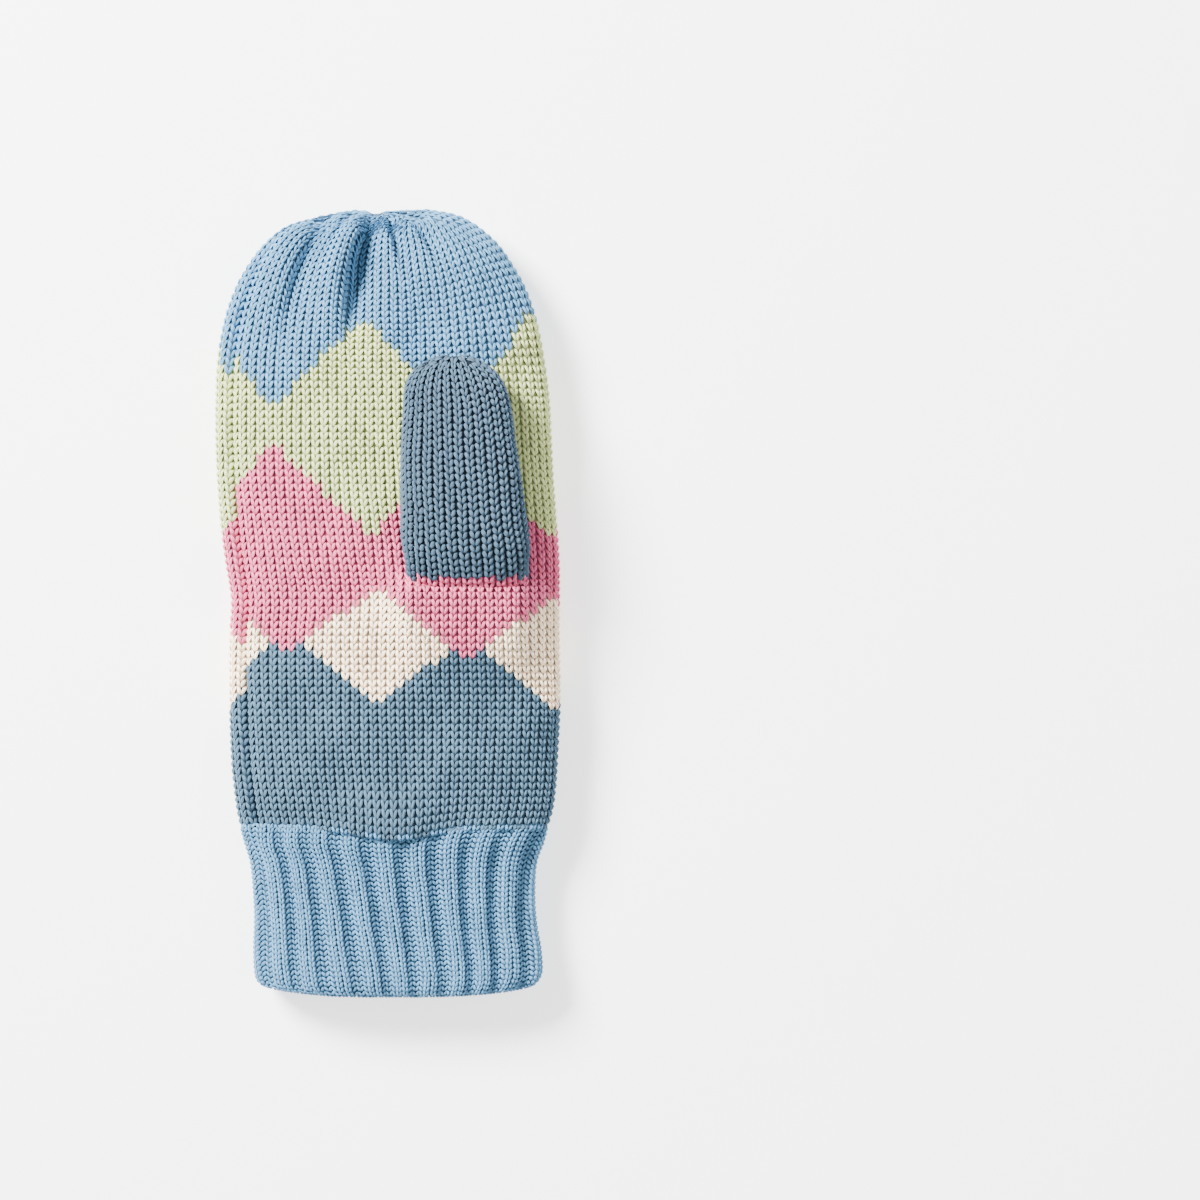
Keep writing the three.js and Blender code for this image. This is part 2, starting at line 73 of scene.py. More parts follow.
# Fineness of the surfaces
HAND_ROWS = 300
HAND_SHARES = 480
THUMB_ROWS = 120
THUMB_SHARES = 208
CUFF_ROWS = 120
CUFF_SHARES = 480
POLE_SHARES = (0.3, 0.6, 0.85, 0.98)
STRAIGHT_SHARE = 0.72
LAST_COURSE_SHARE = 0.995

# The stitches' places over the surfaces, in millimetres
GROUND_DEPTH = 0.75
LOWEST = 0.02

# The bake's cells keep this share of their side free
CELL_MARGIN = 0.08
SHARP_ANGLE = 1.0


class Yarn(Enum):
    """The yarns of the mitten, in the order that they lie from the tip to the cuff."""

    SKY = "sky"
    SAGE = "sage"
    PINK = "pink"
    CREAM = "cream"
    SLATE = "slate"


class Stitch(Enum):
    """The faces that a stitch can show."""

    KNIT = "knit"
    PURL = "purl"


# Small curves


def clamp01(value: Array) -> Array:
    """Limits values to the range from 0 to 1."""
    return np.clip(value, 0.0, 1.0)


def ease(start: float, end: float, value: Array) -> Array:
    """Rises smoothly from 0 at start to 1 at end, as 3s^2 - 2s^3 of the share s."""
    share = clamp01((value - start) / (end - start))
    return share * share * (3.0 - 2.0 * share)


def bell(distance: Array, width: float) -> Array:
    """A bell curve, exp(-(d / w)^2)."""
    return np.exp(-((distance / width) ** 2))


def columns(names: str, rows: list[tuple[float, ...]]) -> Table:
    """Turns a short table of rows into named columns.

    Args:
        names: The columns' names, with spaces between them.
        rows: One tuple of numbers for each row.

    Returns:
        A dictionary of column name to array.
    """
    values = np.array(rows, dtype=float)
    return {name: values[:, k] for k, name in enumerate(names.split())}


def smooth(column: Array, t: Array) -> Array:
    """Evaluates a column of a table as a Catmull-Rom curve through its rows.

    Args:
        column: The values of the column, one for each row.
        t: Row positions, from 0 to the last row.

    Returns:
        The smoothed values, with the shape of t.
    """
    last = len(column) - 1
    row = np.clip(np.floor(t).astype(int), 0, last - 1)
    share = t - row
    padded = np.concatenate(([2 * column[0] - column[1]], column, [2 * column[-1] - column[-2]]))
    p0, p1, p2, p3 = (padded[row + k] for k in range(4))
    slope1 = (p2 - p0) / 2
    slope2 = (p3 - p1) / 2
    cubic = 2 * (p1 - p2) + slope1 + slope2
    square = 3 * (p2 - p1) - 2 * slope1 - slope2
    return ((cubic * share + square) * share + slope1) * share + p1


def walk_sections(rows: Table, shares: Array, start: float) -> tuple[Array, Array, Array, Array]:
    """Walks rounded sections at even steps of their perimeter.

    A section is a superellipse, |x|^n + |z|^n = 1, stretched from left to right, with its upper
    half from edge to top and its lower half from edge to floor. The walk starts at the left
    edge, goes over the top and comes back under it.

    Args:
        rows: Columns left, right, top, floor and edge, one value for each ring.
        shares: Shares of the perimeter, one for each point, or one row of them for each ring.
        start: Share of the perimeter that the walk starts at.

    Returns:
        The x and z of each point, and its outward normal's x and z, each rings by points.
    """
    angle = np.pi - 2 * np.pi * np.arange(SECTION_SAMPLES + 1) / SECTION_SAMPLES
    c = np.sign(np.cos(angle)) * np.abs(np.cos(angle)) ** (2 / FLATNESS)
    s = np.sign(np.sin(angle)) * np.abs(np.sin(angle)) ** (2 / FLATNESS)
    centre = ((rows["left"] + rows["right"]) / 2)[:, None]
    half = ((rows["right"] - rows["left"]) / 2)[:, None]
    up = (rows["top"] - rows["edge"])[:, None]
    down = (rows["edge"] - rows["floor"])[:, None]
    xs = centre + half * c
    zs = rows["edge"][:, None] + np.where(s > 0, up, down) * s
    steps = np.hypot(np.diff(xs, axis=1), np.diff(zs, axis=1))
    lengths = np.concatenate((np.zeros((len(xs), 1)), np.cumsum(steps, axis=1)), axis=1)
    lengths /= lengths[:, -1:]
    wanted = np.broadcast_to(np.mod(shares + start, 1.0), (len(xs), np.shape(shares)[-1]))
    x = np.array([np.interp(w, at, v) for w, at, v in zip(wanted, lengths, xs)])
    z = np.array([np.interp(w, at, v) for w, at, v in zip(wanted, lengths, zs)])
    slope_x = np.gradient(xs, axis=1)
    slope_z = np.gradient(zs, axis=1)
    size = np.hypot(slope_x, slope_z)
    nx = np.array([np.interp(w, at, v) for w, at, v in zip(wanted, lengths, -slope_z / size)])
    nz = np.array([np.interp(w, at, v) for w, at, v in zip(wanted, lengths, slope_x / size)])
    return x, z, nx, nz


# Surfaces


@dataclass
class Skin:
    """A surface on a grid that closes on itself round its second axis.

    Attributes:
        points: The places, rows by columns by 3. The last column isn't the first one again.
    """

    points: Array
    normals: Array = field(init=False)

    def __post_init__(self) -> None:
        """Works out the outward normals, the cross product of the two directions."""
        along = np.gradient(self.points, axis=0)
        around = np.roll(self.points, -1, axis=1) - np.roll(self.points, 1, axis=1)
        cross = np.cross(around, along)
        size = np.linalg.norm(cross, axis=2, keepdims=True)
        self.normals = cross / np.maximum(size, 1e-9)

    def lift(self, u: Array, v: Array, height: Array) -> Array:
        """Finds places over the surface.

        Args:
            u: Shares of the way round, any number, where 0 and 1 are the same.
            v: Shares of the way along, from 0 to 1.
            height: Heights over the surface, along its normal.

        Returns:
            The places, with one more axis of length 3.
        """
        rows, cols = self.points.shape[:2]
        x = np.mod(u, 1.0) * cols
        y = np.clip(v, 0.0, 1.0) * (rows - 1)
        col = np.floor(x).astype(int) % cols
        row = np.minimum(np.floor(y).astype(int), rows - 2)
        fx = (x - np.floor(x))[..., None]
        fy = (y - row)[..., None]
        right = (col + 1) % cols

        def blend(grid: Array) -> Array:
            """Mixes the four nearest values of a grid."""
            low = grid[row, col] * (1 - fx) + grid[row, right] * fx
            high = grid[row + 1, col] * (1 - fx) + grid[row + 1, right] * fx
            return low * (1 - fy) + high * fy

        return blend(self.points) + blend(self.normals) * height[..., None]

    def width(self, u: Array, v: Array) -> Array:
        """Gives the length of one whole turn for each place, from the local column pitch."""
        step = 0.004
        flat = np.zeros_like(u)
        across = self.lift(u + step, v, flat) - self.lift(u - step, v, flat)
        return np.linalg.norm(across, axis=-1) / (2 * step)


def even_rows(points: Array, start: Array, rows: int) -> Array:
    """Spaces the rows of a grid by the length along each column.

    Each column is cut at even steps of its own length, measured from the row where start is 0.

    Args:
        points: The places, rows by columns by 3.
        start: One value for each row, 0 or less where the row keeps its place.
        rows: The number of rows wanted.

    Returns:
        The places, rows by columns by 3.
    """
    first = int(np.searchsorted(start, 0.0))
    kept = points[: first + 1]
    moved = points[first:]
    steps = np.linalg.norm(np.diff(moved, axis=0), axis=2)
    lengths = np.concatenate((np.zeros((1, steps.shape[1])), np.cumsum(steps, axis=0)))
    low_steps = np.linalg.norm(np.diff(kept, axis=0), axis=2).mean(axis=1)
    low = np.concatenate(([0.0], np.cumsum(low_steps)))
    mean_high = lengths[-1].mean()
    low_rows = max(2, round(rows * low[-1] / (low[-1] + mean_high)))
    at = np.linspace(0.0, low[-1], low_rows)
    lower = np.stack([[np.interp(at, low, kept[:, c, k]) for k in range(3)] for c in range(points.shape[1])])
    shares = np.linspace(0.0, 1.0, rows - low_rows + 1)[1:]
    upper = np.stack(
        [
            [np.interp(shares * lengths[-1, c], lengths[:, c], moved[:, c, k]) for k in range(3)]
            for c in range(points.shape[1])
        ]
    )
    return np.concatenate((lower, upper), axis=2).transpose(2, 0, 1)


# Meshes


@dataclass
class MeshParts:
    """Places, faces and texture places that grow into one mesh.

    Attributes:
        points: Blocks of places in millimetres.
        faces: Blocks of faces with equal numbers of corners, counted within the whole mesh.
        slots: Blocks of material numbers, one for each face.
        wraps: For each block of yarn legs, the texture places of each leg's face corners.
        count: The number of places so far.
    """

    points: list[Array] = field(default_factory=list)
    faces: list[NDArray[np.int64]] = field(default_factory=list)
    slots: list[NDArray[np.int64]] = field(default_factory=list)
    wraps: list[Array] = field(default_factory=list)
    count: int = 0

    def add(self, points: Array, faces: NDArray[np.int64], slot: NDArray[np.int64] | int = 0) -> None:
        """Adds a block of places and faces.

        Args:
            points: Places, any number by 3.
            faces: Corners into these places, one row for each face.
            slot: The material number of all faces, or one for each.
        """
        self.points.append(points)
        self.add_faces(faces + self.count, slot)
        self.count += len(points)

    def add_faces(self, faces: NDArray[np.int64], slot: NDArray[np.int64] | int = 0) -> None:
        """Adds faces whose corners are counted within the whole mesh."""
        self.faces.append(faces)
        self.slots.append(np.broadcast_to(np.asarray(slot), len(faces)).astype(int))

    def make(self, name: str, materials: list[bpy.types.Material]) -> bpy.types.Object:
        """Makes the mesh and its object.

        Args:
            name: The object's name.
            materials: Its materials, in the order of the slots.

        Returns:
            The new object, at the origin.
        """
        points = np.concatenate(self.points) * MM
        corners = np.concatenate([block.ravel() for block in self.faces])
        sizes = np.concatenate([np.full(len(block), block.shape[1]) for block in self.faces])
        mesh = bpy.data.meshes.new(name)
        mesh.vertices.add(len(points))
        mesh.vertices.foreach_set("co", points.astype(np.float32).ravel())
        mesh.loops.add(len(corners))
        mesh.loops.foreach_set("vertex_index", corners.astype(np.int32))
        mesh.polygons.add(len(sizes))
        starts = np.concatenate(([0], np.cumsum(sizes)[:-1]))
        mesh.polygons.foreach_set("loop_start", starts.astype(np.int32))
        mesh.polygons.foreach_set("material_index", np.concatenate(self.slots).astype(np.int32))
        mesh.polygons.foreach_set("use_smooth", np.full(len(sizes), True))
        if self.wraps:
            self.lay_out(mesh)
        for material in materials:
            mesh.materials.append(material)
        mesh.update(calc_edges=True)
        mesh.set_sharp_from_angle(angle=SHARP_ANGLE)
        piece = bpy.data.objects.new(name, mesh)
        bpy.context.scene.collection.objects.link(piece)
        return piece

    def lay_out(self, mesh: bpy.types.Mesh) -> None:
        """Gives each yarn leg a cell of its own in the texture, in rows of a square.

        Args:
            mesh: The mesh, with all its corners in the order of the blocks.
        """
        legs = sum(len(block) for block in self.wraps)
        side = int(np.ceil(np.sqrt(legs)))
        cell = 0
        places = []
        for block in self.wraps:
            number = cell + np.arange(len(block))
            corner = np.column_stack((number % side, number // side))
            places.append(((corner[:, None, :] + CELL_MARGIN + block * (1 - 2 * CELL_MARGIN)) / side).reshape(-1, 2))
            cell += len(block)
        uv = mesh.uv_layers.new(name="OFBake")
        uv.data.foreach_set("uv", np.concatenate(places).astype(np.float32).ravel())


def wall(outer: Array, inner: Array, keep: NDArray[np.bool_], is_capped: bool) -> tuple[MeshParts, list[int]]:
    """Joins an outer and an inner grid into one closed wall.

    Each kept cell gives an outer face and an inner face that looks the other way. Where a cell's
    neighbour isn't kept, a rim face joins the two.

    Args:
        outer: Places of the outer side, rows by columns by 3, with its columns closed.
        inner: Places of the inner side, as many.
        keep: Which cells to keep, rows less one by columns.
        is_capped: Whether the last row is a small ring that a cap closes on both sides.

    Returns:
        The wall, and the number of faces of its outer side, inner side and rims.
    """
    rows, cols = outer.shape[:2]
    count = rows * cols
    grid = np.arange(count).reshape(rows, cols)
    turned = np.roll(grid, -1, axis=1)
    outside = np.stack([a[keep] for a in (grid[:-1], turned[:-1], turned[1:], grid[1:])], axis=1)
    edge = np.full((1, cols), False)
    above = np.full((1, cols), is_capped)
    neighbours = (
        np.concatenate((edge, keep[:-1])),
        np.roll(keep, -1, axis=1),
        np.concatenate((keep[1:], above)),
        np.roll(keep, 1, axis=1),
    )
    rims = []
    for side, neighbour in enumerate(neighbours):
        is_open = ~neighbour[keep]
        first = outside[is_open, side]
        second = outside[is_open, (side + 1) % 4]
        rims.append(np.stack((second, first, first + count, second + count), axis=1))
    parts = MeshParts()
    parts.points += [outer.reshape(-1, 3), inner.reshape(-1, 3)]
    parts.add_faces(outside)
    parts.add_faces(outside[:, ::-1] + count, 1)
    parts.add_faces(np.concatenate(rims), 1)
    if is_capped:
        parts.add_faces(grid[-1:], 0)
        parts.add_faces(grid[-1:, ::-1] + count, 1)
    parts.count = 2 * count
    return parts, [len(block) for block in parts.faces]


# Yarn and stitches


@dataclass(frozen=True)
class YarnLeg:
    """One leg of a stitch: a short spindle of yarn, bent up in the middle.

    Attributes:
        start: Place of its lower end, in shares of the wale's and the course's pitch.
        end: Place of its upper end, in the same shares.
        radius: Half its width in millimetres.
        low: Height of its ends over the skin in millimetres.
        high: Height of its middle.
        dive: How much lower its upper end is than its lower one, in millimetres.
        depth: Its height as a share of its width.
    """

    start: tuple[float, float]
    end: tuple[float, float]
    radius: float
    low: float
    high: float
    dive: float = 0.0
    depth: float = 0.85

    SIDES = 5
    RINGS = (0.22, 0.55, 0.86)
    FULLNESS = (0.72, 1.0, 0.84)

    def places(self, wale: float, course: float) -> Array:
        """Works out the spindle's points round its middle line, which is arched by a half sine.

        Args:
            wale: The width of a stitch in millimetres.
            course: The height of a stitch in millimetres.

        Returns:
            Places across, along and up, in millimetres from the stitch's middle.
        """
        low = np.array(self.start) * (wale, course)
        high = np.array(self.end) * (wale, course)
        run = (high - low) / np.linalg.norm(high - low)
        side = np.array([run[1], -run[0]])
        share = np.array((0.0, *self.RINGS, 1.0))
        arch = np.sin(np.pi * share)
        line = low + (high - low) * share[:, None]
        height = self.low + (self.high - self.low) * arch - self.dive * share
        angle = np.pi / 2 + 2 * np.pi * np.arange(self.SIDES) / self.SIDES
        rings = []
        for ring, fullness in enumerate(self.FULLNESS, start=1):
            out = np.cos(angle)[:, None] * side * self.radius * fullness
            up = np.sin(angle) * self.radius * self.depth * fullness
            rings.append(np.column_stack((line[ring] + out, height[ring] + up)))
        tips = [np.array([[*line[k], height[k]]]) for k in (0, -1)]
        return np.concatenate((tips[0], *rings, tips[1]))

    def faces(self) -> tuple[NDArray[np.int64], Array]:
        """Gives the spindle's triangles.

        Returns:
            The corners of each triangle, and each corner's place round the yarn and along it.
        """
        n = self.SIDES
        k = np.arange(n)
        after = (k + 1) % n
        shares = (0.0, *self.RINGS, 1.0)
        last = 1 + n * len(self.RINGS)
        corners = [np.stack((np.zeros(n, int), 1 + k, 1 + after), axis=1)]
        around = [np.stack((k + 0.5, k, k + 1.0), axis=1)]
        along = [np.tile((shares[0], shares[1], shares[1]), (n, 1))]
        for ring in range(len(self.RINGS) - 1):
            a = 1 + ring * n
            b = a + n
            low, high = shares[ring + 1], shares[ring + 2]
            corners += [np.stack((a + k, b + k, a + after), axis=1), np.stack((a + after, b + k, b + after), axis=1)]
            around += [np.stack((k, k, k + 1.0), axis=1), np.stack((k + 1.0, k, k + 1.0), axis=1)]
            along += [np.tile((low, high, low), (n, 1)), np.tile((low, high, high), (n, 1))]
        corners.append(np.stack((last - n + k, np.full(n, last), last - n + after), axis=1))
        around.append(np.stack((k, k + 0.5, k + 1.0), axis=1))
        along.append(np.tile((shares[-2], shares[-1], shares[-2]), (n, 1)))
        places = np.stack((np.concatenate(around) / n, np.concatenate(along)), axis=2)
        return np.concatenate(corners), places


def v_legs(
    near: float, far: float, reach: float, radius: float, low: float, high: float, dive: float
) -> tuple[YarnLeg, ...]:
    """Makes the two legs of a knit stitch, close at the bottom and apart at the top.

    Args:
        near: Half the way between the legs' lower ends, as a share of the wale.
        far: Half the way between their upper ends.
        reach: How far the lower ends stand below the stitch's middle, as a share of the course.
        radius: Half the yarn's width in millimetres.
        low: Height of the ends over the skin in millimetres.
        high: Height of the middles.
        dive: How much lower the upper ends are than the lower ones.

    Returns:
        The left leg and the right leg.
    """
    left = YarnLeg((-near, -reach), (-far, 0.85 * reach), radius, low, high, dive)
    right = YarnLeg((near, -reach), (far, 0.85 * reach), radius, low, high, dive)
    return left, right


@dataclass
class KnitCloth:
    """Cloth that is knitted over a skin, stitch by stitch.

    Attributes:
        skin: The surface that it lies on.
        wales: The number of stitches round the skin.
        courses: The number of stitches along it.
        wale: The width of a stitch in millimetres.
        course: The height of a stitch in millimetres.
        seed: Seed of its unevenness.
        wobble: How uneven it is, as a share of a stitch.
        stray: How far its wales stray sideways, as a share of a stitch.
    """

    skin: Skin
    wales: int
    courses: int
    wale: float
    course: float
    seed: int
    wobble: float = 0.022
    stray: float = 0.06

    THINNEST = 0.45

    def middles(self) -> tuple[Array, Array, Array]:
        """Gives the place of each stitch's middle on the skin, courses by wales.

        Returns:
            The shares round and along, and the places.
        """
        along, around = np.meshgrid(np.arange(self.courses), np.arange(self.wales), indexing="ij")
        u = (around + 0.5) / self.wales
        v = (along + 0.5) / self.courses
        return u, v, self.skin.lift(u, v, np.zeros_like(u))

    def add_stitches(self, chosen: NDArray[np.bool_], legs: tuple[YarnLeg, ...], parts: MeshParts) -> int:
        """Adds the chosen stitches to a mesh.

        A leg's places are moved to each stitch, in shares of the skin, and lifted off the skin.
        Where the wales run together, each second, fourth or eighth wale goes on, as wide as they.

        Args:
            chosen: Which stitches to make, courses by wales.
            legs: The legs of one stitch.
            parts: The mesh to add to.

        Returns:
            The number of stitches made.
        """
        along, around = np.nonzero(chosen)
        u = (around + 0.5) / self.wales
        v = (along + 0.5) / self.courses
        squeeze = np.maximum(self.skin.width(u, v) / self.wales / self.wale, 0.02)
        spread = 2.0 ** np.clip(np.ceil(np.log2(self.THINNEST / squeeze)), 0, 3)
        is_kept = np.mod(around, spread) == 0
        u, v, squeeze, spread = (a[is_kept][:, None] for a in (u, v, squeeze, spread))
        height = np.clip(squeeze * spread, 0.45, 1.05) ** 0.8
        rng = np.random.default_rng(self.seed)
        shift = rng.normal(0.0, self.wobble, (3, len(chosen), self.wales))[:, along, around][:, is_kept, None]
        waves = np.sin(along / 5 + 2 * np.sin(around / 6)) + 0.6 * np.sin(along / 2.3 + around)
        stray = self.stray * waves[is_kept, None]
        for leg in legs:
            local = leg.places(self.wale, self.course)
            at_u = u + (local[:, 0] / self.wale * spread + shift[0] + stray) / self.wales
            at_v = v + (local[:, 1] / self.course + shift[1]) / self.courses
            lift = local[:, 2] * height * (1 + shift[2])
            places = self.skin.lift(at_u, at_v, lift).reshape(-1, 3)
            places[:, 2] = np.maximum(places[:, 2], LOWEST)
            corners, wrap = leg.faces()
            starts = len(local) * np.arange(len(u))
            parts.add(places, (corners[None] + starts[:, None, None]).reshape(-1, 3))
            parts.wraps.append(np.broadcast_to(wrap.reshape(1, -1, 2), (len(u), wrap.size // 2, 2)))
        return len(u)


# Shapes, as the solids have them

HAND_SECTIONS = columns(
    "at left right top floor",
    [
        (0, -0.439, 0.476, 0.84, -0.03),
        (0.025, -0.449, 0.49, 0.87, -0.04),
        (0.058, -0.457, 0.499, 0.9, -0.05),
        (0.107, -0.466, 0.505, 0.93, -0.05),
        (0.204, -0.472, 0.513, 0.97, -0.05),
        (0.301, -0.472, 0.511, 1, -0.05),
        (0.366, -0.466, 0.511, 1, -0.05),
        (0.43, -0.484, 0.51, 1, -0.05),
        (0.495, -0.499, 0.502, 1, -0.05),
        (0.56, -0.508, 0.493, 1, -0.05),
        (0.625, -0.513, 0.487, 1, -0.05),
        (0.689, -0.513, 0.481, 1, -0.05),
        (0.754, -0.508, 0.466, 0.99, -0.05),
        (0.819, -0.487, 0.442, 0.97, -0.04),
        (0.871, -0.454, 0.409, 0.94, -0.03),
        (0.909, -0.415, 0.37, 0.91, -0.01),
        (0.939, -0.372, 0.332, 0.87, 0.02),
        (0.961, -0.322, 0.29, 0.82, 0.07),
        (0.977, -0.255, 0.25, 0.76, 0.13),
        (0.989, -0.178, 0.2, 0.68, 0.21),
        (0.997, -0.1, 0.125, 0.58, 0.31),
    ],
)

THUMB_SECTIONS = columns(
    "front_at back_at left right front back into",
    [
        (-0.06, 0.22, -0.42, 0.452, -0.1, 0, 1),
        (-0.035, 0.225, -0.42, 0.452, 0.12, 0, 0.3),
        (-0.005, 0.235, -0.425, 0.456, 0.29, 0, 0),
        (0.035, 0.25, -0.44, 0.472, 0.5, 0, 0),
        (0.1, 0.27, -0.47, 0.496, 0.72, 0, 0),
        (0.2, 0.31, -0.5, 0.498, 0.89, 0, 0),
        (0.34, 0.385, -0.5, 0.472, 0.97, 0, 0),
        (0.48, 0.48, -0.505, 0.444, 1, 0, 0),
        (0.62, 0.62, -0.497, 0.4, 0.98, 0, 0),
        (0.75, 0.75, -0.485, 0.369, 0.93, 0.01, 0),
        (0.85, 0.85, -0.474, 0.325, 0.84, 0.03, 0),
        (0.92, 0.915, -0.423, 0.25, 0.73, 0.08, 0),
        (0.965, 0.957, -0.325, 0.15, 0.61, 0.16, 0),
        (0.99, 0.982, -0.21, 0.05, 0.5, 0.26, 0),
    ],
)

CUFF_SECTIONS = columns(
    "at left right top floor rib bow",
    [
        (0.1, -0.49, 0.532, 1.04, -0.02, 0.7, 0.02),
        (0.22, -0.47, 0.508, 1, -0.03, 0.95, 0.05),
        (0.4, -0.46, 0.502, 0.98, -0.04, 1, 0.15),
        (0.58, -0.457, 0.508, 0.98, -0.04, 1, 0.35),
        (0.76, -0.46, 0.525, 1, -0.04, 0.95, 0.6),
        (0.9, -0.457, 0.53, 1.02, -0.04, 0.8, 0.85),
        (0.965, -0.448, 0.516, 0.99, -0.02, 0.65, 0.97),
        (1, -0.425, 0.494, 0.92, 0.02, 0.5, 1),
    ],
)

RIB_LEAN = columns(
    "at_top at_foot",
    [
        (0, 0.3),
        (0.1, 0.4),
        (-0.1, 0.3),
        (-0.25, 0.35),
        (-0.3, 0.35),
        (-0.25, 0.2),
        (-0.2, 0.12),
        (-0.15, 0.02),
        (-0.15, -0.2),
        (-0.12, -0.35),
        (0, -0.3),
    ],
)


@dataclass(frozen=True)
class Pleat:
    """One gather of the crown, a valley along a curved line with a roll on its left.

    Attributes:
        x: Places across at its top, middle and foot, in shares of the hand's width.
        at: Where it starts and ends, in shares of the hand's length.
        depth: Its depth as a share of the deepest.
        width: Its width as a share of the usual one.
        roll: Height of the roll beside it, as a share of its depth.
    """

    x: tuple[float, float, float]
    at: tuple[float, float]
    depth: float
    width: float
    roll: float


PALM_PLEATS = (
    Pleat((-0.042, -0.099, -0.11), (1.0, 0.77), 1.1, 1, 0.55),
    Pleat((-0.009, 0.022, 0.05), (1.01, 0.89), 0.7, 0.7, 0.3),
    Pleat((0.03, 0.107, 0.16), (1.01, 0.9), 0.6, 0.8, 0.3),
    Pleat((-0.18, -0.268, -0.305), (1.0, 0.78), 0.5, 1.2, 0.4),
    Pleat((-0.08, -0.16, -0.2), (1.01, 0.9), 0.35, 0.8, 0.1),
)
BACK_PLEATS = (
    Pleat((-0.05, -0.12, -0.15), (0.99, 0.86), 0.6, 1.2, 0.2),
    Pleat((0, 0.06, 0.08), (0.99, 0.88), 0.8, 1.1, 0.3),
    Pleat((0.05, 0.17, 0.23), (0.98, 0.9), 0.5, 1.2, 0.2),
)


@dataclass
class ThumbPlace:
    """Where the thumb is set into the palm, in millimetres."""

    x: float = 25.7
    width: float = 41.0
    length: float = 78.2
    base_from_join: float = 77.2


